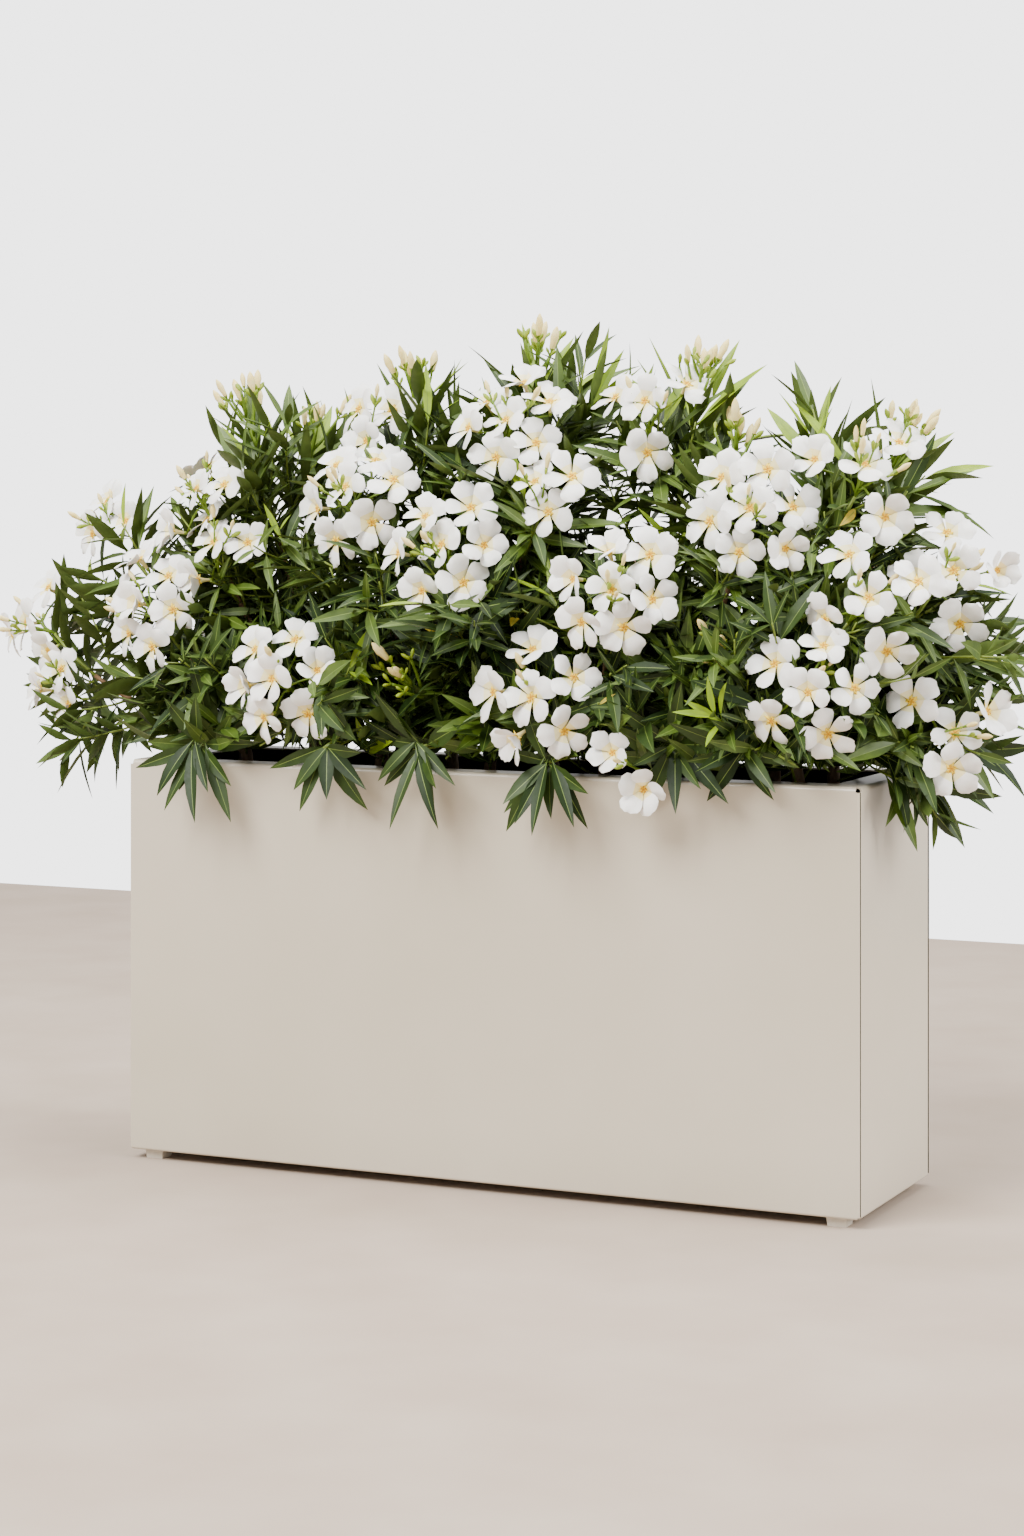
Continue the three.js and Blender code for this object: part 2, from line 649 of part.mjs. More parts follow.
// Side shoots by the golden angle, each as long as its mass's space has room for.
function sideShoots(mass, index, fits) {
  const { collar, fork, heading, length: whole } = mass.growth;
  const count = Math.round(whole / SIDE.every);
  const shoots = [];
  for (let k = 0; k < count; k++) {
    const t = SIDE.from + ((SIDE.to - SIDE.from) * k) / (count - 1);
    const start = collar.clone().lerp(fork, t);
    const lean = about(SIDE_LEAN.angle, SIDE_LEAN.vary, index, k, DRAW.lean);
    const way = leaning(heading, lean, GOLDEN * k + 360 * chance(index, DRAW.turn));
    const full = SIDE.length * about(1, SIDE.vary, index, k, DRAW.length);
    const share = SHOOT_TRIES.find((part) => fits([start, along(start, way, part * full)]));
    if (!share) continue;
    const end = along(start, way, share * full);
    const solid = tube([along(start, way, -SUNK), end], [SIDE.foot, SIDE.tip], 3);
    shoots.push({ start, way, end, length: share * full, solid, bears: 0 });
  }
  return shoots;
}

// Leaves in threes up the shoot, flatter at the foot, and two whorls on each side shoot.
function leafPlaces(mass, index, sides) {
  const { collar, fork, heading } = mass.growth;
  const span = collar.distanceTo(fork);
  const count = Math.floor((span - WHORL.first) / WHORL.every) + 1;
  const places = [];
  for (let w = 0; w < count; w++) {
    const t = 1 - (w * WHORL.every + SUNK) / span;
    const lean = WHORL.top + (WHORL.low - WHORL.top) * Math.min(1, w / 2);
    places.push(...whorl(collar.clone().lerp(fork, t), heading, lean, WHORL.turn * w, [index, w]));
  }
  sides.forEach((side, k) => {
    const turn = 360 * chance(index, k, DRAW.turn);
    const middle = along(side.start, side.way, SIDE_WHORL.at * side.length);
    const end = along(side.end, side.way, -SUNK);
    const onSide = [index, k, DRAW.whorlOnSide];
    const atEnd = [index, k, DRAW.whorlAtEnd];
    places.push(...whorl(middle, side.way, SIDE_WHORL.middle, turn, onSide, side));
    places.push(...whorl(end, side.way, SIDE_WHORL.end, turn + WHORL.turn, atEnd, side));
  });
  return places
    .map((place, i) => ({ ...place, order: chance(index, i, DRAW.order) }))
    .sort((a, b) => a.order - b.order);
}

// One flower in the middle of a cluster and the rest in a ring behind it, facing outward.
function clusterPieces(mass, index) {
  const { head, heading, fork } = mass.growth;
  return Array.from({ length: mass.plan.flowers ?? 0 }, (_, k) => {
    const outer = k === 0 ? 0 : 1;
    const out = leaning(heading, 90, CLUSTER.turn * k + 360 * chance(index, DRAW.turn));
    const ring = outer * CLUSTER.ring * about(1, CLUSTER.vary, index, k, DRAW.ring);
    const centre = along(head, out, ring).addScaledVector(heading, -CLUSTER.behind * ring);
    const facing = heading.clone().addScaledVector(out, outer * CLUSTER.facing).normalize();
    const flower = flowerSolid(centre, facing, 72 * chance(index, k, DRAW.turn));
    const back = along(centre, facing, PEDICEL.intoFlower - FLOWER.depth);
    const root = along(fork, heading, -PEDICEL.intoShoot);
    return { ...flower, stalk: tube([root, back], [PEDICEL.foot, PEDICEL.tip], 3) };
  });
}

// Buds fanned out at a shoot's fork, the first of them upright.
function budPieces(mass, index) {
  const { heading, fork } = mass.growth;
  return Array.from({ length: mass.plan.buds ?? 0 }, (_, k) => {
    const lean = k === 0 ? BUD.upright : BUD.lean * about(1, BUD.leanVary, index, k, DRAW.lean);
    const way = leaning(heading, lean, GOLDEN * k + 360 * chance(index, DRAW.turn));
    const length = BUD.length * about(1, BUD.vary, index, k, DRAW.length);
    return budSolid(along(fork, heading, -SUNK), way, length, 360 * chance(index, k, DRAW.turn));
  });
}

// Whether two pieces of one mass run through each other, more than at a shared root.
function crosses(solid, others) {
  const { min, max } = solid.boundingBox();
  return others.some((other) => {
    const box = other.boundingBox();
    const apart = [0, 1, 2].some((i) => box.min[i] > max[i] || box.max[i] < min[i]);
    return !apart && other.intersect(solid).volume() > CROSSING;
  });
}

// The first try at a leaf in this place that fits, or nothing.
function fittingLeaf(place, kept, solids, fits) {
  for (let attempt = 0; attempt < LEAF_TRIES.count; attempt++) {
    const { points, faces } = leafAt(place, attempt);
    const middle = new THREE.Box3().setFromPoints(points).getCenter(vec(0, 0, 0));
    if (kept.some((other) => other.distanceTo(middle) < LEAVES.apart) || !fits(points)) continue;
    const solid = polyhedron(points, faces);
    if (!crosses(solid, solids)) return { middle, solid };
  }
  return null;
}

// A mass as one solid: its shoot, flowers or buds, leaves and the side shoots that bear them.
function growFoliage(mass, index, masses, obstacles) {
  const fits = (points) => {
    const spread = spreadOver(points);
    return (
      insideCell(points, mass, masses) &&
      insideReach(points, mass) &&
      clearOfPlanter(spread) &&
      clearOfLimbs(spread, mass, obstacles)
    );
  };
  const solids = [mass.shoot ?? shootTube(mass.growth)];
  for (const { points, faces, stalk } of [...clusterPieces(mass, index), ...budPieces(mass, index)]) {
    const solid = polyhedron(points, faces);
    if (!fits(points) || crosses(solid, solids)) continue;
    solids.push(solid);
    if (stalk) solids.push(stalk);
  }
  const sides = sideShoots(mass, index, fits);
  const kept = [];
  for (const place of leafPlaces(mass, index, sides)) {
    if (kept.length >= LEAVES.each) break;
    const shoots = sides.map(({ solid }) => solid);
    const leaf = fittingLeaf(place, kept, [...solids, ...shoots], fits);
    if (!leaf) continue;
    kept.push(leaf.middle);
    solids.push(leaf.solid);
    if (place.side) place.side.bears += 1;
  }
  const bearing = sides.filter(({ bears }) => bears > 0).map(({ solid }) => solid);
  return largest(joinAll([...solids, ...bearing]));
}

// Assembly
function meshOf(name, geometry, material) {
  const mesh = new THREE.Mesh(geometry, material);
  mesh.name = name;
  return mesh;
}

function plantMeshes() {
  const masses = growLimbs();
  const obstacles = obstaclesOf(masses);
  return masses.flatMap((mass, index) => {
    const kind = mass.plan.soil ? "stem" : "bough";
    const name = mass.plan.name;
    const foliage = growFoliage(mass, index + 1, masses, obstacles);
    const limbs = mass.limb ? [meshOf(`${kind}_${name}`, geometryOf(mass.limb), MATERIALS.bark)] : [];
    return [...limbs, meshOf(`foliage_${name}`, geometryOf(foliage), MATERIALS.foliage)];
  });
}

const plant = new THREE.Group();
plant.add(...planterMeshes(), soilMesh(), ...plantMeshes());

// The origin is brought to the bottom centre of the whole.
const centre = new THREE.Box3().setFromObject(plant, true).getCenter(vec(0, 0, 0));
plant.position.set(-centre.x, -centre.y, 0);

export default plant;
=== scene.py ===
import json
import math
import random
from dataclasses import dataclass

import bmesh
import bpy
import numpy as np
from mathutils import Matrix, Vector, noise

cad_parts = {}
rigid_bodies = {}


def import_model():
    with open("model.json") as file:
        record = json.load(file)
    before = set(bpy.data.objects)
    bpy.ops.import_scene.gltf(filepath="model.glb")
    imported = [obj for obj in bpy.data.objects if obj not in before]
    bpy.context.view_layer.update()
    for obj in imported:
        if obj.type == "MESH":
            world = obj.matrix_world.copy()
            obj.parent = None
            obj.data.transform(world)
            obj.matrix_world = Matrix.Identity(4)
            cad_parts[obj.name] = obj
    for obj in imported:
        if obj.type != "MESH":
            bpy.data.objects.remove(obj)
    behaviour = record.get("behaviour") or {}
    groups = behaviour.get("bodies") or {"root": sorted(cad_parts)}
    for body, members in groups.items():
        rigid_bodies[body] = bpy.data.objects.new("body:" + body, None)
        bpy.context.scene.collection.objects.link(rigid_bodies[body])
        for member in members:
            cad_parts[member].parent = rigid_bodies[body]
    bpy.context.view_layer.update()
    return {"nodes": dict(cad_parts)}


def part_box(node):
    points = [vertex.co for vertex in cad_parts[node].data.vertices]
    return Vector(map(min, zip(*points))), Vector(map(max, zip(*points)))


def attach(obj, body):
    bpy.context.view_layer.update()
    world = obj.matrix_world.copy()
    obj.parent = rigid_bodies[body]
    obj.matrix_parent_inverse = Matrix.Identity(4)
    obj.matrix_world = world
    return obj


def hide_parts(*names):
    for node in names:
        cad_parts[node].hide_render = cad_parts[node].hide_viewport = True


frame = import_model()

base_low, base_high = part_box("planter_base")
MIDDLE = np.array([(base_low[0] + base_high[0]) / 2, (base_low[1] + base_high[1]) / 2, 0])
MM = 0.001

# The trough and its soil
LENGTH = 1000
DEPTH = 280
RIM = 522
FOOT_TOP = 12
SHEET = 2
LIP = 40
TOP_BEND = 5.5
LOW_BEND = 3
LOW_RETURN = 24
MITRE_GAP = 0.3
NOTCH = 2.2
# Each panel's face ends in a fold back: its half length, its bend, how far the fold reaches in,
# and how many of its last strips are painted dark, as painted shade inside the seam.
LONG_FOLD = {"half": 500, "bend": 2.5, "inward": 3.6, "dark": 1}
SHORT_FOLD = {"half": 132.6, "bend": 1, "inward": 9, "dark": 7}
SOIL_TOP = 480
SOIL_LOW = 17
SOIL = {"columns": 151, "rows": 43, "gap_x": 21, "gap_y": 2.8, "below": 1, "shoulder": 60, "sinks": 6}
# Lumps and crumbs on it: height, width and layer of the noise
LUMPS = ((3.2, 34, 1.7), (2.0, 11, 4.1), (1.2, 5, 8.3))

# Limbs, as in the solids
CLEARANCE = 0.3
STEM = {"foot": 8, "tip": 4.4, "flare": 5, "flare_height": 16, "rings": 40, "sides": 12}
BOUGH = {"foot": 5.2, "tip": 3.8, "flare": 1.5, "flare_height": 8, "rings": 22, "sides": 10}
BEND = {"pull": 0.35, "upward": 0.25}
LEAN = {"x": 0.62, "y": 0.25, "z": 0.25, "below": 60, "least_above_rim": 23}
SHOOT = {"least": 170, "share": 0.5, "short": 8, "fork": 45, "foot": 3.8, "tip": 2.1}
SITE_SHARE = 0.45
REACH = {"share": 0.5, "more": 112, "past_head": 32, "spray": -4, "tip": 14}
# A mass's other leaders start low on its shoot
LEADER = {"from": 0.18, "foot": 2.6, "tip": 1.9, "lifts": 0.4, "sinks": -0.2}
CELL_ROOM = 30
PLANTER_ROOM = 2
GOLDEN = 137.5
# High up the sprays stand apart, with fewer and longer leaves
HIGH = {"from": 850, "share": 0.8, "size": 1.14}

# Each mass: its head, what bears it, and the tips it ends in as (x, y, z, flowers, buds).
# A tip with neither is a leafy one. A sixth value hangs it over the rim, with so many long leaves.
CROWN = {
    "far_left": ((-540, -110, 725), (-385, -30), [(-505, -118, 728, 7, 3), (-545, -90, 630, 0, 0)]),
    "far_left_low": (
        (-728, -30, 650),
        ("far_left", 0.3),
        [(-738, -20, 694, 4, 4), (-680, -50, 606, 3, 2)],
    ),
    "front_left": (
        (-440, -185, 590),
        ("far_left", 0.34, "straight"),
        [(-440, -175, 590, 0, 0), (-380, -168, 546, 0, 0, 6)],
    ),
    "top_left": ((-420, 0, 985), (-300, 20), [(-420, 0, 1016, 0, 9), (-296, 10, 990, 0, 3)]),
    "left_shoulder": (
        (-455, -80, 850),
        ("top_left", 0.4),
        [(-445, -75, 880, 4, 5), (-405, -105, 806, 4, 2)],
    ),
    "left_edge": ((-608, -10, 832), ("top_left", 0.26), [(-618, -20, 838, 3, 6)]),
    "upper_left": ((-190, -115, 880), (-190, -30), [(-192, -120, 876, 7, 3), (-212, -20, 970, 3, 3)]),
    "low_left": (
        (-265, -190, 645),
        ("upper_left", 0.3, "straight"),
        [(-262, -192, 636, 7, 2), (-199, -166, 548, 0, 0, 3)],
    ),
    "top_mid_left": ((-175, 15, 1010), (-120, 45), [(-168, 12, 1046, 0, 9), (-100, 40, 1005, 0, 0)]),
    "back_mid_left": ((-190, 170, 720), ("top_mid_left", 0.26), [(-190, 170, 720, 4, 3)]),
    "upper_middle": ((35, -90, 950), (-30, -40), [(14, -80, 975, 7, 3), (88, -125, 880, 3, 2)]),
    "centre_left": ((-55, -160, 805), ("upper_middle", 0.42, "straight"), [(-40, -165, 805, 7, 3)]),
    "front_middle": (
        (-75, -185, 640),
        ("upper_middle", 0.24, "straight"),
        [(-98, -188, 655, 0, 6), (-60, -170, 554, 0, 0, 4)],
    ),
    "top_middle": ((0, 30, 1060), (25, 45), [(10, 28, 1088, 0, 7), (115, 15, 1056, 0, 0)]),
    "centre_right": ((205, -190, 755), (130, -35), [(206, -192, 755, 7, 3)]),
    "low_middle": (
        (105, -200, 620),
        ("centre_right", 0.3, "straight"),
        [(103, -200, 620, 6, 2), (112, -174, 540, 0, 0, 6)],
    ),
    "top_mid_right": ((245, 10, 1020), (190, 40), [(252, 8, 1051, 0, 9), (190, -45, 980, 4, 3)]),
    "back_mid_right": ((125, 175, 720), ("top_mid_right", 0.26), [(125, 175, 720, 4, 3)]),
    "right_shoulder": ((370, -140, 855), (260, -35), [(366, -145, 852, 7, 4), (312, -40, 965, 0, 5)]),
    "front_right": (
        (290, -185, 640),
        ("right_shoulder", 0.3, "straight"),
        [(335, -170, 700, 0, 3), (272, -166, 566, 0, 0, 3), (225, -192, 535, 2, 1)],
    ),
    "low_right": (
        (460, -190, 640),
        ("right_shoulder", 0.24),
        [(456, -192, 640, 6, 2), (362, -164, 562, 0, 0, 2)],
    ),
    "top_right": ((515, 5, 935), (335, 20), [(530, 3, 971, 0, 8), (384, 8, 1000, 0, 0)]),
    "high_right": ((480, -60, 905), ("top_right", 0.6), [(492, -75, 905, 4, 6)]),
    "right": ((520, -165, 745), (395, -45), [(516, -160, 745, 5, 2)]),
    "far_right": ((590, -35, 770), (415, 15), [(586, -40, 776, 5, 3), (640, -25, 706, 0, 0)]),
    "far_right_low": (
        (588, -85, 600),
        ("far_right", 0.36, "straight"),
        [(602, -85, 592, 4, 2), (520, -88, 556, 0, 0, 5)],
    ),
    "back_left": ((-475, 150, 690), (-345, 75), [(-475, 150, 690, 5, 3)]),
    "back_right": ((420, 165, 700), (300, 80), [(420, 165, 700, 5, 3)]),
}

# The crown's ends are open, with fewer twigs
OPEN = ("far_left", "far_left_low", "left_edge", "top_right")
OPEN_SHARE = 0.62

# Twigs and leaves
TWIG = {"every": 18, "length": 108, "vary": 0.35, "foot": 1.9, "tip": 1.1, "lean": 50, "rise": 0.35}
LIMB_TWIG = {"every": 13, "from": 0.1, "length": 108}
WHORL = {"every": 14, "low": 66, "top": 34, "turn": 60}
LEAF = {"length": 102, "vary": 0.3, "width": 0.168, "thick": 0.6, "fold": 0.26, "droop": 0.3}
# Low in the crown the leaves are shorter and broader
LOW = {"from": 760, "depth": 180, "shorter": 0.12, "broader": 0.32}
LEAF_TRIES = (1, 0.85, 0.7, 0.56)
LEAF_PROBES = (0.3, 0.55, 0.8, 1.0)
OPEN_TRIES = 2
FLOWER_ROOM = {"near": 20, "radius": 27, "before": 80, "behind": 6}
CLUSTER_ROOM = {"before": 110, "behind": 4, "ring": 76, "few": 44}
BUD_ROOM = 10
HANG = {"from": 600, "low": 440, "slope": 0.9, "past_end": 515, "above_rim": 14, "outwards": 0.25}
SPRAY = {"fork": 100, "axis": 66, "branch": 52, "long_buds": 0.55}
# How far a leafy shoot ends short of each kind of tip, and how its last leaves lean
TIP_FORMS = {"cluster": (45, 58), "spray": (100, 30), "hanging": (55, 62), "leafy": (84, 17)}
TWIG_ROOM = 38
TWIG_TRIES = (1, 0.8, 0.6, 0.45)
# How light a place in the crown is: outwards, and upwards to a top that falls to the ends
LIGHT = {
    "half_length": 640, "half_depth": 250, "side": 0.5,
    "low": 560, "rise": 430, "falls": 180, "ends": 700,
}
# Chances of fresh, middle and dark sprays: the least, how much more light adds, and its power. Lighter
# tints where the crown is lit and darker ones deep inside are painted light and shade, besides the
# paler young growth.
TINT_CHANCES = ((0.01, 0.8, 3), (0.08, 0.95, 1), (0.8, 0.2, 1))
# The last leaves under a spray of buds and at a leafy tip
UPRIGHT = {"past": 26, "longer": 1.12, "narrow": 0.86}
ROSETTE = {"spread": 92, "end_turn": 38, "length": 116, "width": 19.5, "outward": 0.4, "apart": 9}
LEAF_PIECES = ("left", "middle_left", "middle", "right")
LEAST_BEND = 1e-3
LEAF_ROWS = (0, 0.07, 0.24, 0.44, 0.64, 0.83)
LEAF_HALVES = (0.09, 0.12, 0.72, 1, 0.84, 0.46)

# Places in the lists of plant_materials
YELLOWING, RIB_SLOT, UNDER_SLOT = 4, 5, 6
BASE_SLOT, RAY_SLOT, HEART_SLOT, TUBE_SLOT, CALYX_SLOT = 1, 2, 3, 4, 5
WOODY, FRESH = 1, 2
CREAM, GREEN, FOOT_SLOT = 0, 1, 2

# Flowers and buds. A petal's rows go outwards, each with its half width and its lift.
FLOWER = {"tube": 20, "apart": 53, "behind": 0.3, "tilt": 0.55, "open": 0.78}
PETAL = {"twist": 3.6, "hollow": 1.3, "fluting": 0.5, "wave": 0.6, "thick": 0.5}
FACING = {
    "along": 0.35, "half_length": 500, "half_depth": 120, "middle": 60, "forward": 0.75,
    "up": 0.12, "higher": 0.5, "low": 620, "rise": 450,
}
FEW_FLOWERS = 3
BUD_LENGTHS = {"top": (25, 34), "side": (23, 34), "among": (15, 25), "small": (9, 16)}
PETAL_ROWS = (3, 8, 14, 20, 26, 31, 34)
PETAL_HALVES = (2.4, 5.4, 9, 12.2, 13.9, 13.2, 10.4)
PETAL_LIFTS = (0, 1.4, 3.3, 4.8, 5, 3.8, 2.2)
PETAL_ENDS = (-2.9, 0.3, 1.6, 2.2, 1.8, 0, -3.4)
# The throat's rays: length, half width, height and slot. The second kind stands between petals.
RAYS = ((12, 2.3, 1.2, RAY_SLOT), (9, 1.5, 1.5, RAY_SLOT), (5.4, 1.3, 2.0, HEART_SLOT))
# A flower's tube and calyx: how far behind its middle each ring stands, and the ring's radius
TUBE_ROWS = ((-0.4, 4.0), (3, 3.8), (8, 2.7), (14, 2.1), (FLOWER["tube"], 1.9))
CALYX_ROWS = ((21.5, 1.3), (18, 2.6), (15, 2.4))
# A bud's rings up its length, each with its share of the width, and how they twist round
BUD_ROWS = ((0, 0.3), (0.1, 0.62), (0.3, 0.74), (0.55, 1), (0.78, 0.76), (0.93, 0.32))
BUD_SIDE = (0.31, 0.83, 0.2)
BUD_TWIST = 0.5

UP = np.array([0.0, 0.0, 1.0])
SUBSURFACE_DEPTH = 0.002


# Vectors and curves
def unit(v):
    return v / np.linalg.norm(v)


def leaning(heading, lean, turn):
    """A direction at an angle to the heading, turned round it, both in degrees."""
    level = np.cross(UP, heading) if abs(heading[2]) < 0.95 else np.array([1.0, 0, 0])
    level = unit(level - heading * level.dot(heading))
    other = np.cross(heading, level)
    outward = level * math.cos(math.radians(turn)) + other * math.sin(math.radians(turn))
    return unit(heading * math.cos(math.radians(lean)) + outward * math.sin(math.radians(lean)))


def bezier(a, b, c, d, t):
    s = 1 - t
    return a * s**3 + b * 3 * s * s * t + c * 3 * s * t * t + d * t**3


def curve_points(curve, count):
    return [curve(i / (count - 1)) for i in range(count)]


def taper(foot, tip, count):
    return [foot + (tip - foot) * i / (count - 1) for i in range(count)]


def course(line, t, step=0.04, least=-1):
    """Which way a line runs at a place from 0 to 1."""
    return unit(line(min(1, t + step)) - line(max(least, t - step)))


# Joined pieces
class Gathered:
    """Vertices and faces of one kind, gathered for one joined piece."""

    def __init__(self, materials):
        self.materials = materials
        self.points = []
        self.faces = {3: [], 4: []}
        self.slots = {3: [], 4: []}
        self.count = 0

    def add(self, points, faces, slot=0):
        """Points in millimetres from the trough's middle; faces of three or four corners.

        The slot is one number, or one for each face.
        """
        points = np.asarray(points, dtype=float).reshape(1, -1, 3)
        self.add_batch(points, faces, np.broadcast_to(slot, (1, len(faces))))

    def add_batch(self, points, faces, slots):
        """Copies of one form: points as (copies, corners, 3), slots as (copies, faces)."""
        copies, size = points.shape[:2]
        offsets = self.count + size * np.arange(copies)
        for corners in (3, 4):
            chosen = [i for i, f in enumerate(faces) if len(f) == corners]
            if chosen:
                form = np.array([faces[i] for i in chosen]) + offsets[:, None, None]
                self.faces[corners].append(form.reshape(-1, corners))
                self.slots[corners].append(slots[:, chosen].ravel())
        self.points.append(points.reshape(-1, 3))
        self.count += copies * size

    def build(self, name, slot, replaced=()):
        kinds = [corners for corners in (4, 3) if self.faces[corners]]
        faces = [np.concatenate(self.faces[corners]) for corners in kinds]
        slots = np.concatenate([s for corners in kinds for s in self.slots[corners]])
        sizes = np.repeat(kinds, [len(f) for f in faces])
        loops = np.concatenate([f.ravel() for f in faces])
        points = (np.concatenate(self.points) * MM + MIDDLE).astype(np.float32)
        mesh = bpy.data.meshes.new(name)
        mesh.vertices.add(len(points))
        mesh.vertices.foreach_set("co", points.ravel())
        mesh.loops.add(len(loops))
        mesh.loops.foreach_set("vertex_index", loops.astype(np.int32))
        mesh.polygons.add(len(sizes))
        mesh.polygons.foreach_set("loop_start", (np.cumsum(sizes) - sizes).astype(np.int32))
        for material in self.materials:
            mesh.materials.append(material)
        mesh.polygons.foreach_set("material_index", slots.astype(np.int32))
        mesh.update(calc_edges=True)
        mesh.shade_smooth()
        piece = bpy.data.objects.new(name, mesh)
        bpy.context.scene.collection.objects.link(piece)
        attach(piece, "root")
        if replaced:
            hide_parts(*replaced)
        return piece


def grid_faces(rows, columns):
    """Quads between rows of corners, each row open."""
    firsts = [i * columns + k for i in range(rows - 1) for k in range(columns - 1)]
    return [(a, a + 1, a + columns + 1, a + columns) for a in firsts]


def band_faces(rows, sides):
    """Quads between rings of corners, each ring closed on itself."""
    faces = []
    for first in range(0, (rows - 1) * sides, sides):
        for k in range(sides):
            a, b = first + k, first + (k + 1) % sides
            faces.append((a, b, b + sides, a + sides))
    return faces


def tube_form(points, radii, sides, relief=None):
    """Rings round a line, closed by its two ends. Relief gives each corner's share more."""
    rings = []
    side = None
    for i, point in enumerate(points):
        heading = unit(points[min(i + 1, len(points) - 1)] - points[max(i - 1, 0)])
        if side is None:
            side = np.array([1.0, 0, 0]) if abs(heading[0]) < 0.8 else np.array([0, 1.0, 0])
        side = unit(side - heading * side.dot(heading))
        other = np.cross(heading, side)
        for k in range(sides):
            turn = 2 * math.pi * k / sides
            radius = radii[i] * (1 + (relief(i, k) if relief else 0))
            rings.append(point + radius * (side * math.cos(turn) + other * math.sin(turn)))
    foot, end = len(rings), len(rings) - sides
    faces = band_faces(len(points), sides)
    for k in range(sides):
        faces.append((foot, (k + 1) % sides, k))
        faces.append((foot + 1, end + k, end + (k + 1) % sides))
    return [*rings, points[0], points[-1]], faces


# Materials
def linear(tone):
    """A base colour from screen values of 0 to 255."""
    parts = [c / 255 for c in tone]
    return tuple(p / 12.92 if p <= 0.04045 else ((p + 0.055) / 1.055) ** 2.4 for p in parts)


class Surface:
    """A principled material, with its textures laid in the object's own place."""

    def __init__(self, name, roughness, specular, subsurface=0.0):
        self.material = bpy.data.materials.new(name)
        self.material.use_nodes = True
        self.nodes = self.material.node_tree.nodes
        self.shader = self.nodes["Principled BSDF"]
        self.feed(self.shader, {
            "Roughness": roughness,
            "Specular IOR Level": specular,
            "Subsurface Weight": subsurface,
            "Subsurface Scale": SUBSURFACE_DEPTH,
        })
        self.place = self.nodes.new("ShaderNodeTexCoord").outputs["Object"]

    def feed(self, node, inputs):
        """Link each input that is given another node's socket, and set the rest."""
        for name, value in inputs.items():
            if isinstance(value, bpy.types.NodeSocket):
                self.material.node_tree.links.new(value, node.inputs[name])
            else:
                node.inputs[name].default_value = value

    def node(self, kind, result, inputs):
        made = self.nodes.new("ShaderNode" + kind)
        self.feed(made, inputs)
        return made.outputs[result]

    def noise(self, scale, detail=3, stretch=(1, 1, 1)):
        place = self.node("Mapping", "Vector", {"Scale": stretch, "Vector": self.place})
        return self.node("TexNoise", "Fac", {"Scale": scale, "Detail": detail, "Vector": place})

    def ramp(self, factor, *stops):
        """Tones in screen values at their places along the factor."""
        ramp = self.nodes.new("ShaderNodeValToRGB")
        elements = ramp.color_ramp.elements
        while len(elements) < len(stops):
            elements.new(0.5)
        for element, (at, tone) in zip(elements, stops):
            element.position = at
            element.color = (*linear(tone), 1)
        self.feed(ramp, {"Fac": factor})
        return ramp.outputs["Color"]

    def rough_from(self, value, low, high):
        rough = self.node("MapRange", "Result", {"To Min": low, "To Max": high, "Value": value})
        self.feed(self.shader, {"Roughness": rough})

    def bump(self, height, strength, distance):
        inputs = {"Strength": strength, "Distance": distance, "Height": height}
        self.feed(self.shader, {"Normal": self.node("Bump", "Normal", inputs)})


def mottled(name, darker, lighter, roughness, specular=0.5, scale=60, subsurface=0.0, bump=0.0):
    """A base colour that wanders between two close tones, with a fine uneven surface."""
    surface = Surface(name, roughness, specular, subsurface)
    colour = surface.ramp(surface.noise(scale), (0.25, darker), (0.75, lighter))
    surface.feed(surface.shader, {"Base Color": colour})
    if bump:
        surface.bump(surface.noise(scale * 14, 2), bump, 0.0004)
    return surface.material


def leaf_material(name, darker, lighter, specular=0.4):
    """Waxy evergreen leaf, with its tone wandering and a trace of side veins."""
    surface = Surface(name, 0.5, specular)
    colour = surface.ramp(surface.noise(34), (0.3, darker), (0.7, lighter))
    surface.feed(surface.shader, {"Base Color": colour})
    surface.rough_from(surface.noise(150), 0.4, 0.62)
    surface.bump(surface.noise(700, 2), 0.35, 0.0003)
    return surface.material


def paint_material():
    """Pale satin powder coat: fine peel, faint clouding and a little dust low down."""
    surface = Surface("powder_coat", 0.42, 0.45)
    surface.feed(surface.shader, {"Coat Weight": 0.6, "Coat Roughness": 0.2})
    pale = surface.ramp(surface.noise(2.6, 4), (0.3, (190, 180, 160)), (0.7, (200, 190, 172)))
    height = surface.node("SeparateXYZ", "Z", {"Vector": surface.place})
    low_down = {"From Min": 0.012, "From Max": 0.085, "To Min": 0.34, "To Max": 0.0, "Value": height}
    patchy = surface.nodes.new("ShaderNodeMath")
    patchy.operation = "MULTIPLY"
    surface.feed(patchy, {0: surface.node("MapRange", "Result", low_down)})
    surface.feed(patchy, {1: surface.noise(26, 5, (1, 1, 0.4))})
    dusty = surface.nodes.new("ShaderNodeMix")
    dusty.data_type = "RGBA"
    dust = (*linear((166, 155, 138)), 1)
    surface.feed(dusty, {"Factor": patchy.outputs["Value"], "A": pale, "B": dust})
    surface.feed(surface.shader, {"Base Color": dusty.outputs["Result"]})
    surface.rough_from(surface.noise(9), 0.36, 0.5)
    surface.bump(surface.noise(620, 2), 0.12, 0.0003)
    return surface.material


def bark_material():
    """Grey-brown bark with long faint streaks and pale raised spots."""
    surface = Surface("bark", 0.78, 0.3)
    streaks = surface.noise(90, 5, (1, 1, 0.18))
    colour = surface.ramp(streaks, (0.25, (88, 68, 50)), (0.55, (126, 103, 80)), (0.8, (158, 140, 116)))
    surface.feed(surface.shader, {"Base Color": colour})
    surface.bump(surface.noise(260, 4, (1, 1, 0.4)), 0.6, 0.0012)
    return surface.material


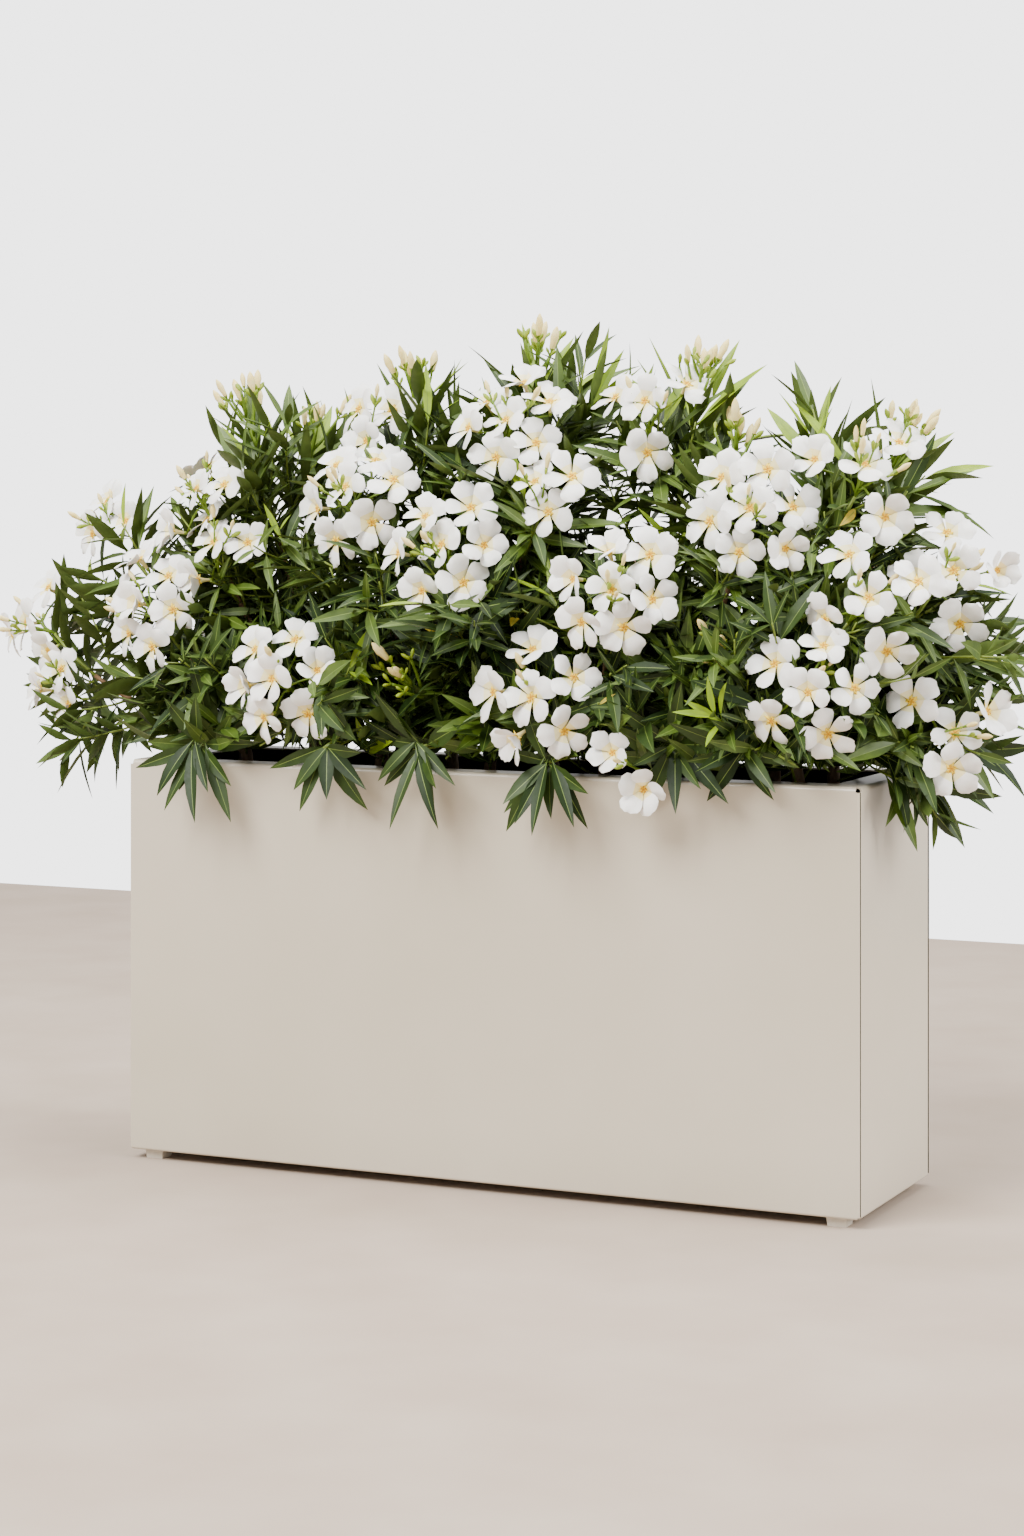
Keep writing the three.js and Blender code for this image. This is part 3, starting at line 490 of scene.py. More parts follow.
def soil_material():
    surface = Surface("potting_soil", 0.95, 0.2)
    crumbs = surface.noise(130, 6)
    colour = surface.ramp(crumbs, (0.3, (28, 21, 16)), (0.55, (54, 41, 31)), (0.75, (92, 74, 58)))
    surface.feed(surface.shader, {"Base Color": colour})
    surface.bump(crumbs, 0.9, 0.004)
    return surface.material


def plant_materials():
    return {
        "leaf": [
            # The deep and dark tints are partly painted shade deep in the crown and under it, the fresh
            # one partly painted light at its top and outer side.
            leaf_material("leaf_deep", (18, 34, 6), (29, 48, 10), 0.2),
            leaf_material("leaf_dark", (30, 48, 8), (47, 68, 15), 0.3),
            leaf_material("leaf_mid", (50, 71, 11), (75, 97, 22)),
            leaf_material("leaf_fresh", (104, 132, 8), (136, 162, 20)),
            leaf_material("leaf_yellowing", (150, 132, 28), (176, 154, 46)),
            mottled("leaf_rib", (92, 114, 42), (118, 138, 62), 0.5, 0.4),
            mottled("leaf_under", (62, 80, 26), (83, 101, 40), 0.62, 0.3, bump=0.2),
        ],
        "twig": [
            mottled("twig_green", (92, 112, 30), (122, 138, 50), 0.5, 0.4, 120, bump=0.2),
            mottled("twig_woody", (92, 68, 44), (128, 100, 70), 0.7, 0.3, 120, bump=0.5),
            mottled("twig_fresh", (80, 108, 14), (112, 138, 30), 0.5, 0.4, 120, bump=0.2),
        ],
        "flower": [
            mottled("petal", (236, 234, 228), (254, 253, 251), 0.5, 0.35, 60, 0.05, 0.35),
            mottled("petal_base", (250, 234, 166), (252, 242, 198), 0.55, 0.3, 90, 0.1, 0.2),
            mottled("throat_rays", (246, 208, 52), (250, 222, 90), 0.6, 0.3, 150),
            mottled("throat_heart", (208, 146, 16), (232, 176, 36), 0.6, 0.3, 150),
            mottled("flower_tube", (230, 214, 132), (242, 228, 168), 0.55, 0.3, 110, 0.1),
            mottled("calyx", (112, 134, 38), (140, 158, 58), 0.55, 0.3, 110),
        ],
        "bud": [
            mottled("bud_cream", (222, 200, 114), (242, 226, 166), 0.5, 0.35, 110, 0.05),
            mottled("bud_green", (112, 138, 22), (152, 168, 48), 0.5, 0.35, 110),
        ],
    }


MATERIALS = plant_materials()


# Limbs
class Tip:
    """One end of a mass: its place, its open flowers and buds, and the long leaves hung there."""

    def __init__(self, x, y, z, flowers, buds, hanging=0):
        self.place = np.array([x, y, z], dtype=float)
        self.flowers = flowers
        self.buds = buds
        self.hanging = hanging
        self.kind = "cluster" if flowers else "spray" if buds else "hanging" if hanging else "leafy"
        self.back, self.lean = TIP_FORMS[self.kind]


class Mass:
    """One mass of foliage: its limb, its shoot and the space that it keeps to."""

    def __init__(self, name, head, bearer, tips):
        self.name = name
        self.head = np.array(head, dtype=float)
        self.bearer = bearer
        self.tips = [Tip(*plan) for plan in tips]
        self.random = random.Random("oleander " + name)
        self.on_stem = isinstance(bearer[0], str)
        self.straight = len(bearer) == 3
        self.open = name in OPEN

    def grow(self, stems):
        if self.straight:
            self.root = stems[self.bearer[0]].limb(self.bearer[1])
            self.heading = unit(self.head - self.root)
            self.length = np.linalg.norm(self.head - self.root) - SHOOT["short"]
        else:
            x, y, z = self.head
            rise = SOIL_TOP - LEAN["below"] + LEAN["z"] * (z - SOIL_TOP)
            low = max(RIM + LEAN["least_above_rim"], rise)
            self.heading = unit(self.head - np.array([LEAN["x"] * x, LEAN["y"] * y, low]))
            self.length = max(SHOOT["least"], SHOOT["share"] * (z - RIM))
        self.collar = self.head - self.heading * self.length
        self.fork = self.head - self.heading * SHOOT["fork"]
        self.site = self.head - self.heading * SITE_SHARE * self.length
        self.reach = REACH["share"] * self.length + REACH["more"]
        if not self.straight:
            self.limb_line(stems)
        self.point_tips()

    def point_tips(self):
        """Turn each tip's blossom the way its shoot runs, and see how far leaves may go."""
        self.leader_root = self.collar + (self.fork - self.collar) * LEADER["from"]
        self.tips[0].heading = self.heading
        for tip in self.tips[1:]:
            ahead = unit(tip.place - self.leader_root) + 0.6 * unit(tip.place - self.collar)
            tip.heading = unit(ahead + (LEADER["sinks"] if tip.hanging else LEADER["lifts"]) * UP)
        ends = [
            (tip.place - self.head).dot(self.heading) + REACH["spray" if tip.kind == "spray" else "tip"]
            for tip in self.tips
        ]
        self.past_head = min(REACH["past_head"], max(ends))

    def limb_line(self, stems):
        end = self.collar - self.heading * CLEARANCE
        if self.on_stem:
            start = stems[self.bearer[0]].limb(self.bearer[1])
            outward = unit(end - start)
            rising = unit(outward * (1 - BEND["upward"]) + UP * BEND["upward"])
        else:
            start = np.array([*self.bearer, SOIL_TOP + CLEARANCE], dtype=float)
            rising = UP
        pull = BEND["pull"] * np.linalg.norm(end - start)
        a, b, c, d = start, start + rising * pull, end - self.heading * pull, end
        self.limb = lambda t: bezier(a, b, c, d, t)
        self.limb_length = np.linalg.norm(end - start)


def grow_masses():
    """Every mass, the stems grown before what they bear."""
    masses = {name: Mass(name, *plan) for name, plan in CROWN.items()}
    for mass in sorted(masses.values(), key=lambda mass: mass.on_stem):
        mass.grow(masses)
    return list(masses.values())


MASSES = grow_masses()
SITES = np.array([mass.site for mass in MASSES])


def bark_relief(seed, rings, sides):
    """Shallow ridges along the limb, swellings at old leaf scars, and small raised spots."""
    def relief(i, k):
        turn = 2 * math.pi * k / sides
        place = Vector((math.cos(turn) * 1.6 + seed * 7.3, math.sin(turn) * 1.6, i * 0.16))
        ridge = noise.noise(place) * 0.1
        knot = noise.noise(Vector((seed * 3.1, 2.7, i * 0.55))) * 0.09
        spot = max(0.0, noise.noise(place * 5.3) - 0.35) * 0.4
        return ridge + knot + spot

    return relief


def limb_mesh(gathered, mass, size, seed):
    rings, sides = size["rings"], size["sides"]
    points = curve_points(mass.limb, rings)
    radii = []
    for i in range(rings):
        t = i / (rings - 1)
        flare = size["flare"] * math.exp(-t * mass.limb_length / size["flare_height"])
        radii.append(size["foot"] + (size["tip"] - size["foot"]) * t + flare)
    gathered.add(*tube_form(points, radii, sides, bark_relief(seed, rings, sides)))


def build_limbs():
    bark = bark_material()
    for kind, size in (("stem", STEM), ("bough", BOUGH)):
        gathered = Gathered([bark])
        nodes = []
        for seed, mass in enumerate(MASSES):
            if mass.straight or mass.on_stem != (kind == "bough"):
                continue
            limb_mesh(gathered, mass, size, seed)
            nodes.append(f"{kind}_{mass.name}")
        gathered.build(f"{kind}s", "bark", nodes)


# Flowers and buds are placed first, since leaves keep clear of them.
class Blossom:
    """Every flower, bud and stalk, gathered until all the leaves are placed."""

    def __init__(self):
        self.flowers = []
        self.clusters = []
        self.buds = []
        self.stalks = Gathered(MATERIALS["twig"])

    def stalk(self, start, end, heading, foot, tip):
        pull = 0.4 * np.linalg.norm(end - start)
        a = start + heading * pull
        b = end - unit(end - start) * pull * 0.3
        points = curve_points(lambda t: bezier(start, a, b, end, t), 5)
        self.stalks.add(*tube_form(points, taper(foot, tip, 5), 5), FRESH)


def outward_of(place):
    """Which way a tip's flowers turn: away from the middle of the crown, and a little up."""
    x, y, z = place
    upward = FACING["up"] + FACING["higher"] * (z - FACING["low"]) / FACING["rise"]
    away = np.array([FACING["along"] * x / FACING["half_length"], y / FACING["half_depth"], upward])
    if abs(y) < FACING["middle"]:
        away[1] -= FACING["forward"]
    return unit(away)


def polar(radius, turn):
    return (radius * math.cos(math.radians(turn)), radius * math.sin(math.radians(turn)))


def disc_places(count, rng):
    """Flower places in a cluster, as (across, up) in spacings: a middle one and a ring."""
    start = rng.uniform(0, 360)
    if count <= FEW_FLOWERS:
        return [polar(0.55, start + 360 * k / count) for k in range(count)]
    ring = [polar(rng.uniform(0.95, 1.12), start + 360 * k / (count - 1)) for k in range(count - 1)]
    return [(rng.uniform(-0.1, 0.1), rng.uniform(-0.1, 0.1)), *ring]


def flower_cluster(blossom, tip, rng):
    """A cluster of open flowers on curving stalks from the shoot's fork."""
    outward = outward_of(tip.place)
    across = unit(np.cross(UP, outward))
    up = np.cross(outward, across)
    fork = tip.place - tip.heading * SHOOT["fork"]
    apart = FLOWER["apart"]
    room = CLUSTER_ROOM["ring" if tip.flowers > FEW_FLOWERS else "few"]
    blossom.clusters.append((tip.place, outward, room))
    for x, y in disc_places(tip.flowers, rng):
        sideways = across * x + up * y
        centre = tip.place + sideways * apart * rng.uniform(0.88, 1.14)
        behind = FLOWER["behind"] * math.hypot(x, y) + rng.uniform(-0.14, 0.3)
        centre = centre - outward * apart * behind
        tilt = FLOWER["tilt"] * rng.uniform(0.5, 1.5)
        lean = leaning(outward, rng.uniform(0, 20), rng.uniform(0, 360))
        facing = unit(lean + sideways * tilt)
        back = centre - facing * FLOWER["tube"]
        wide_open = rng.random() < FLOWER["open"]
        cup = rng.uniform(0.02, 0.3) if wide_open else rng.uniform(0.4, 0.75)
        blossom.flowers.append((centre, facing, rng.uniform(0, 72), rng.uniform(0.9, 1.06), cup))
        root = fork + tip.heading * rng.uniform(2, 16)
        blossom.stalk(root, back, unit(tip.heading + 0.2 * sideways), 1.8, 1.15)


def add_bud(blossom, joint, way, size, kind, rng):
    """A bud of a length drawn from its size, on a short stalk of its own."""
    length = rng.uniform(*size)
    width = length * (rng.uniform(0.31, 0.37) if kind == CREAM else 0.42)
    stem = rng.uniform(5, 9) if kind == CREAM else rng.uniform(3, 6)
    blossom.stalk(joint, joint + way * stem, way, 1.35, 1.25)
    blossom.buds.append((joint + way * (stem - 0.8), way, length, width, kind))


def small_buds(blossom, joint, heading, count, rng):
    turn = rng.uniform(0, 360)
    for k in range(count):
        way = leaning(heading, rng.uniform(24, 46), turn + 360 * k / count)
        add_bud(blossom, joint, way, BUD_LENGTHS["small"], GREEN, rng)


def bud_spray(blossom, tip, rng):
    """A branching stalk with long cream buds on its outer ends and small green ones between."""
    heading = tip.heading
    fork = tip.place - heading * SPRAY["fork"]
    top = fork + heading * SPRAY["axis"]
    blossom.stalk(fork, top, heading, 3.3, 2.4)
    big = rng.randint(2, 3)
    for k in range(big):
        way = unit(leaning(heading, rng.uniform(4, 17), 360 * k / big + rng.uniform(0, 60)))
        add_bud(blossom, top, way, BUD_LENGTHS["top"], CREAM, rng)
    small_buds(blossom, top, heading, 4, rng)
    turn = rng.uniform(0, 360)
    for k in range(tip.buds):
        level = k / max(1, tip.buds - 1)
        start = fork + heading * SPRAY["axis"] * (0.2 + 0.66 * level)
        way = leaning(heading, rng.uniform(32, 46), turn + GOLDEN * k)
        reach = SPRAY["branch"] * rng.uniform(0.8, 1.15) * (1.1 - 0.55 * level)
        end = start + way * reach * 0.8 + heading * reach * 0.35
        blossom.stalk(start, end, way, 2.4, 1.8)
        rising = unit(way * 0.8 + heading)
        if rng.random() < SPRAY["long_buds"]:
            add_bud(blossom, end, rising, BUD_LENGTHS["side"], CREAM, rng)
        small_buds(blossom, end, rising, rng.randint(1, 3), rng)


def buds_among(blossom, tip, rng):
    """Buds that stand between and above the open flowers of a cluster."""
    outward = outward_of(tip.place)
    fork = tip.place - tip.heading * SHOOT["fork"]
    for _ in range(tip.buds):
        way = leaning(tip.heading, rng.uniform(8, 34), rng.uniform(0, 360))
        way = unit(way - outward * 0.15)
        end = fork + way * rng.uniform(46, 64)
        blossom.stalk(fork, end, tip.heading, 1.7, 1.1)
        add_bud(blossom, end, way, BUD_LENGTHS["among"], CREAM, rng)
        small_buds(blossom, end - way * 6, way, 2, rng)


def blossom_on(blossom, mass, tip):
    rng = random.Random(f"blossom {mass.name} {tip.place[0]:.0f}")
    if tip.kind == "cluster":
        flower_cluster(blossom, tip, rng)
        buds_among(blossom, tip, rng)
    elif tip.kind == "spray":
        bud_spray(blossom, tip, rng)


# Leaves
class Leaves:
    """Leaf places, each kept only where it has room."""

    def __init__(self, blossom):
        self.flowers = np.array([f[0] for f in blossom.flowers])
        self.facings = np.array([f[1] for f in blossom.flowers])
        self.clusters, self.outwards, self.rings = (
            np.array([c[i] for c in blossom.clusters]) for i in range(3)
        )
        self.buds = np.array([b[0] + b[1] * b[2] / 2 for b in blossom.buds])
        self.hanging = False
        self.rows = []

    def fits(self, mass, points, room=0, past=0):
        """Whether a leaf's or twig's points keep to their mass and clear of all else."""
        away = points - mass.site
        if np.any(np.linalg.norm(away, axis=1) > mass.reach - room):
            return False
        if not self.hanging:
            ahead = (points - mass.head).dot(mass.heading)
            if np.any(ahead > mass.past_head + past - room / 2):
                return False
            if too_low(points) or past_its_cell(mass, away):
                return False
        return self.clear_of_blossom(points) and clear_of_planter(points)

    def clear_of_blossom(self, points):
        room = FLOWER_ROOM
        distance, hides = stands_before(points, self.flowers, self.facings, room["radius"], room)
        if np.any(hides | (distance < room["near"])):
            return False
        if np.any(stands_before(points, self.clusters, self.outwards, self.rings, CLUSTER_ROOM)[1]):
            return False
        return not np.any(np.linalg.norm(points[:, None] - self.buds[None], axis=2) < BUD_ROOM)

    def try_leaf(self, mass, root, way, face, length, width, bend, tint, past=0):
        for share in LEAF_TRIES[: OPEN_TRIES if mass.open else None]:
            path = leaf_path(root, way, face, length * share, bend, np.array(LEAF_PROBES))
            if self.fits(mass, path, past=past):
                self.rows.append((root, way, face, length * share, width * share, bend, tint))
                return True
        return False


def stands_before(points, centres, facings, radius, room):
    """How far points are from blossom, and which of them would hide it from where it faces."""
    apart = points[:, None] - centres[None]
    distance = np.linalg.norm(apart, axis=2)
    before = np.sum(apart * facings[None], axis=2)
    beside = np.sqrt(np.maximum(0, distance**2 - before**2))
    return distance, (before > -room["behind"]) & (before < room["before"]) & (beside < radius)


def too_low(points):
    """Below the crown's lower edge past the planter's ends, or on the rim between them."""
    x, y, z = np.abs(points[:, 0]), np.abs(points[:, 1]), points[:, 2]
    lowest = HANG["low"] + HANG["slope"] * np.maximum(0, x - HANG["from"])
    above_rim = RIM + HANG["above_rim"] + HANG["outwards"] * np.maximum(0, y - DEPTH / 2)
    return np.any(z < lowest) or np.any((x < HANG["past_end"]) & (z < above_rim))


def past_its_cell(mass, away):
    """Further than halfway to another mass's site, with a little room to mingle."""
    to_others = SITES - mass.site
    apart = np.linalg.norm(to_others, axis=1)
    others = apart > 1
    planes = to_others[others] / apart[others, None]
    return np.any(away.dot(planes.T) > apart[others] / 2 + CELL_ROOM)


def clear_of_planter(points):
    x, y, z = np.abs(points[:, 0]), np.abs(points[:, 1]), points[:, 2]
    room = PLANTER_ROOM
    outside = (x > LENGTH / 2 + room) | (y > DEPTH / 2 + room) | (z > RIM + room)
    inside_mouth = (z > SOIL_TOP + room) & (x < LENGTH / 2 - LIP - room) & (y < DEPTH / 2 - LIP - room)
    return bool(np.all(outside | inside_mouth))


def leaf_path(root, way, face, length, bend, rows):
    """Points up a leaf's rib, which curls back from its face by the bend in radians."""
    bend = bend if abs(bend) > LEAST_BEND else LEAST_BEND
    turn = (bend * rows)[:, None]
    return root + length / bend * (np.sin(turn) * way - (1 - np.cos(turn)) * face)


def leaf_form():
    """Faces of one leaf and their slots, below 0 where the leaf's own tint goes.

    It has rows of four corners above and three below, and a tip for each side.
    """
    row = 7
    tip = row * len(LEAF_ROWS)
    last = tip - row
    faces = []
    for a in range(0, last, row):
        b = a + row
        faces += [(a + k, a + k + 1, b + k + 1, b + k) for k in range(3)]
        faces += [(a + k + 5, a + k + 4, b + k + 4, b + k + 5) for k in range(2)]
    faces += [(last + k, last + k + 1, tip) for k in range(3)]
    faces += [(last + k + 5, last + k + 4, tip + 1) for k in range(2)]
    faces += [(k, 5, k + 1) for k in range(3)]
    across = [-1, RIB_SLOT, -1, UNDER_SLOT, UNDER_SLOT]
    return faces, np.array(across * len(LEAF_ROWS) + [UNDER_SLOT] * 3)


def leaf_points(rows):
    """Corner points of many leaves at once, as (leaves, corners, 3)."""
    root, way, face = (np.array([r[i] for r in rows])[:, None] for i in range(3))
    length, width, bend = (np.array([r[i] for r in rows])[:, None, None] for i in (3, 4, 5))
    bend = np.where(np.abs(bend) < LEAST_BEND, LEAST_BEND, bend)
    turn = bend * np.array([*LEAF_ROWS, 1.0])[:, None]
    line = root + length / bend * (np.sin(turn) * way - (1 - np.cos(turn)) * face)
    body = line[:, :-1]
    up = (np.cos(turn) * face + np.sin(turn) * way)[:, :-1]
    side = np.cross(way, face)
    halves = width * np.array(LEAF_HALVES)[:, None] / 2
    ribs = np.minimum(0.55 - 0.35 * np.array(LEAF_ROWS)[:, None], 0.3 * halves)
    thick = np.minimum(LEAF["thick"], 0.4 * halves)
    across = [-halves, -ribs, ribs, halves]
    above = [body + side * x + up * (LEAF["fold"] * np.abs(x)) for x in across]
    columns = [*above, above[0], body - up * thick, above[3]]
    grid = np.stack(columns, axis=2).reshape(len(rows), -1, 3)
    return np.concatenate([grid, line[:, -1:], line[:, -1:]], axis=1)


def build_leaves(leaves):
    faces, fixed = leaf_form()
    rows = sorted(leaves.rows, key=lambda r: r[0][0])
    share = math.ceil(len(rows) / len(LEAF_PIECES))
    pieces = []
    for i, name in enumerate(LEAF_PIECES):
        part = rows[i * share : (i + 1) * share]
        tints = np.array([r[6] for r in part])[:, None]
        gathered = Gathered(MATERIALS["leaf"])
        gathered.add_batch(leaf_points(part), faces, np.where(fixed < 0, tints, fixed))
        pieces.append((f"leaves_{name}", gathered))
    return pieces


# Twigs
def spray_tint(rng, light):
    """One tint for a whole spray: brighter the nearer it is to the light, as painted light and shade.
    """
    chance = rng.random()
    for tint, (least, more, power) in zip((3, 2, 1), TINT_CHANCES):
        if chance < least + more * light**power:
            return tint
    return 0


def light_at(point):
    """From 0 deep inside the crown to 1 at its outer side and top."""
    x, y, z = point
    outer = max(abs(x) / LIGHT["half_length"], abs(y) / LIGHT["half_depth"])
    rise = LIGHT["rise"] - LIGHT["falls"] * (abs(x) / LIGHT["ends"]) ** 2
    return min(1.0, max(0.0, (z - LIGHT["low"]) / rise, outer * LIGHT["side"]))


@dataclass
class Shoot:
    """What a leafy twig is told: how thick its wood is, and how its leaves stand and look."""

    foot: float
    tip: float
    first: float = 0.12
    size: float = 1.0
    top: float = WHORL["top"]
    tint: int = None
    narrow: float = 1.0
    upright: bool = False

    def crowning(self, tip):
        """Under a spray of buds or at a leafy tip the last leaves are narrow and fresh."""
        if tip.kind in ("spray", "leafy"):
            self.narrow = UPRIGHT["narrow"]
            self.upright = tip.place[2] > HIGH["from"]
            self.tint = 3 if self.upright else 2 if tip.buds > 3 else 1
        elif tip.kind == "hanging":
            self.tint = 1


class Foliage:
    """Twigs and leaves of the whole crown."""

    def __init__(self, blossom):
        self.leaves = Leaves(blossom)
        self.twigs = Gathered(MATERIALS["twig"])

    def leafy_twig(self, mass, line, length, shoot, rng):
        """A twig with leaves in threes up it, closer together towards its tip."""
        count = max(4, int(length / 22))
        points = curve_points(line, count)
        self.twigs.add(*tube_form(points, taper(shoot.foot, shoot.tip, count), 5))
        first = shoot.first
        if first >= 1:
            return
        whorls = max(2, int(length * (1 - first) / WHORL["every"]))
        tint = spray_tint(rng, light_at(points[-1])) if shoot.tint is None else shoot.tint
        turn = rng.uniform(0, 120)
        for w in range(whorls):
            share = (w + 0.5) / whorls
            t = first + (1 - first) * (1 - (1 - share) ** 1.15)
            lean = WHORL["low"] + (shoot.top - WHORL["low"]) * share
            shade = tint if share > 0.75 or tint < 3 else tint - 1
            turn += WHORL["turn"]
            self.whorl(mass, line(t), course(line, t), lean, turn, share, shoot, shade, rng)

    def whorl(self, mass, root, heading, lean, turn, share, shoot, shade, rng):
        low = min(1, max(0, (LOW["from"] - root[2]) / LOW["depth"]))
        for k in range(3):
            way = leaning(heading, lean + rng.uniform(-12, 12), turn + 120 * k + rng.uniform(-14, 14))
            way = unit(way - UP * LEAF["droop"] * rng.uniform(0.2, 1) * (1 - share))
            face = unit(heading - way * heading.dot(way))
            length = LEAF["length"] * shoot.size * rng.uniform(1 - LEAF["vary"], 1 + LEAF["vary"] / 2)
            length *= 0.86 + 0.14 * share if share < 0.9 or shoot.upright else 0.8
            length *= 1 - LOW["shorter"] * low
            bend = rng.uniform(0.05, 0.6) * (1.15 - 0.6 * share)
            if shoot.upright:
                bend = rng.uniform(-0.15, 0.3)
                length *= UPRIGHT["longer"]
            width = LEAF["width"] * (1 + LOW["broader"] * low) * shoot.narrow * length
            width *= rng.uniform(0.85, 1.15)
            chance = rng.random()
            paler = shade - 1 if chance < 0.12 and shade else shade
            tint = YELLOWING if chance < 0.0025 else paler
            past = UPRIGHT["past"] if shoot.upright else 0
            self.leaves.try_leaf(mass, root, way, face, length, width, bend, tint, past)

    def side_twigs(self, mass, line, length, rng, last=0.82):
        """Side twigs by the golden angle, lifting towards their tips."""
        upright = mass.heading[2] > 0.85
        share = OPEN_SHARE if mass.open else HIGH["share"] if upright else 1
        count = max(3, round(length / TWIG["every"] * share))
        start_turn = rng.uniform(0, 360)
        lean = TWIG["lean"] - (14 if upright else 0)
        for k in range(count):
            t = 0.04 + last * k / (count - 1)
            heading = course(line, t, 0.05, 0)
            way = leaning(heading, lean + rng.uniform(-10, 14), start_turn + GOLDEN * k)
            shrink = 1 - (0.55 if upright else 0.35) * t
            full = TWIG["length"] * (1 + TWIG["vary"] * rng.uniform(-1, 1)) * shrink
            self.try_twig(mass, line(t), heading, way, full, rng)

    def try_twig(self, mass, root, heading, way, full, rng, size=1.0, finer=True):
        room = TWIG_ROOM if finer else TWIG_ROOM / 2
        for share in TWIG_TRIES:
            span = full * share
            end = root + way * span + heading * span * TWIG["rise"]
            middle = root * 0.45 + end * 0.55
            if not self.leaves.fits(mass, np.array([middle, end]), room):
                continue
            bend = root + way * span * 0.6
            line = lambda t: bezier(root, root + way * span * 0.33, bend * 0.6 + end * 0.4, end, t)
            foot = TWIG["foot"] if finer else TWIG["tip"] + 0.3
            high = end[2] > HIGH["from"]
            own_size = size * HIGH["size"] if high or mass.straight else size
            self.leafy_twig(mass, line, span, Shoot(foot, TWIG["tip"], size=own_size), rng)
            if finer and not high and not mass.open:
                self.finer_twigs(mass, line, span, size, rng)
            return

    def finer_twigs(self, mass, line, span, size, rng):
        for t in (0.3, 0.6):
            heading = course(line, t, 0.05)
            way = leaning(heading, rng.uniform(38, 58), rng.uniform(0, 360))
            full = span * rng.uniform(0.4, 0.6)
            self.try_twig(mass, line(t), heading, way, full, rng, size * 0.85, False)

    def limb_twigs(self, mass):
        """Leafy twigs on a stem or bough below its mass, in whichever mass's space they reach."""
        rng = random.Random("limb " + mass.name)
        share = OPEN_SHARE if mass.open else 1
        count = round(mass.limb_length * (1 - LIMB_TWIG["from"]) / LIMB_TWIG["every"] * share)
        turn = rng.uniform(0, 360)
        for k in range(count):
            t = LIMB_TWIG["from"] + (0.98 - LIMB_TWIG["from"]) * k / max(1, count - 1)
            root, heading = mass.limb(t), course(mass.limb, t)
            way = leaning(heading, rng.uniform(45, 75), turn + GOLDEN * k)
            full = LIMB_TWIG["length"] * rng.uniform(0.7, 1.25)
            near = MASSES[int(np.argmin(np.linalg.norm(SITES - (root + way * full), axis=1)))]
            self.try_twig(near, root, heading, way, full, rng, 1.0 if near.open else 0.82)

    def leader(self, mass, tip, rng):
        """Another leader of a mass, from low on its shoot up to a tip of its own."""
        start, end = mass.leader_root, tip.place - tip.heading * tip.back
        span = np.linalg.norm(end - start)
        if tip.hanging:
            end = tip.place
        a = start + mass.heading * span * 0.3
        b = end - tip.heading * span * 0.3
        line = lambda t: bezier(start, a, b, end, t)
        bare_end = tip.hanging and tip.place[0] > LENGTH / 2
        first = 1 if bare_end else 0.8 if tip.hanging else 0.3
        shoot = Shoot(LEADER["foot"], LEADER["tip"], first, 1.1, tip.lean)
        shoot.crowning(tip)
        self.leaves.hanging = bool(tip.hanging)
        self.leafy_twig(mass, line, span, shoot, rng)
        if tip.hanging:
            self.rosette(mass, end, tip.hanging, rng)
        else:
            self.side_twigs(mass, lambda t: line(0.3 + 0.6 * t), span * 0.45, rng)
        self.leaves.hanging = False

    def rosette(self, mass, root, count, rng):
        """Long leaves that hang out over the rim from a low shoot's tip."""
        end_on = abs(root[0]) > LENGTH / 2
        outward = unit(np.array([np.sign(root[0]), -0.3, 0])) if end_on else np.array([0.1, -0.995, 0])
        across = np.cross(UP, outward)
        apart = ROSETTE["apart"]
        for k in range(count):
            turn = ROSETTE["spread"] * (k / (count - 1) - 0.5) + rng.uniform(-16, 16)
            turn += ROSETTE["end_turn"] if end_on else 0
            side, down = math.sin(math.radians(turn)), math.cos(math.radians(turn))
            lifted = outward * ROSETTE["outward"] * rng.uniform(0.5, 2.2)
            way = unit(across * side - UP * down + lifted)
            face = outward + rng.uniform(0.1, 0.8) * UP + across * rng.uniform(-0.35, 0.35)
            face = unit(face - way * face.dot(way))
            length = ROSETTE["length"] * rng.uniform(0.62, 1.05)
            width = ROSETTE["width"] * rng.uniform(0.85, 1.1)
            foot = root + across * rng.uniform(-1, 1) * apart + UP * rng.uniform(0, 1) * apart
            # Hanging leaves under the crown take the deep and dark tints, partly as painted shade.
            tint = 0 if rng.random() < 0.55 else 1
            self.leaves.try_leaf(mass, foot, way, face, length, width, rng.uniform(0.05, 0.5), tint)

    def grow(self, mass):
        """A mass's own shoot, woody below and leafy above, with its side twigs and leaders."""
        rng, tip = mass.random, mass.tips[0]
        start = mass.root if mass.straight else mass.collar
        fork = tip.place - tip.heading * tip.back
        span = np.linalg.norm(fork - start)
        bend = start + mass.heading * span * 0.5
        line = lambda t: bezier(start, start * 0.6 + bend * 0.4, bend * 0.7 + fork * 0.3, fork, t)
        woody = curve_points(lambda t: line(0.5 * t), 6)
        radii = list(np.linspace(SHOOT["foot"], (SHOOT["foot"] + SHOOT["tip"]) / 2, 6))
        self.twigs.add(*tube_form(woody, radii, 7), WOODY)
        upper = Shoot(radii[-1], SHOOT["tip"], 0.0, 1.1, tip.lean)
        upper.crowning(tip)
        self.leafy_twig(mass, lambda t: line(0.48 + 0.52 * t), span * 0.52, upper, rng)
        self.side_twigs(mass, line, span, rng, 0.62 if tip.kind == "spray" else 0.82)
        for other in mass.tips[1:]:
            self.leader(mass, other, rng)


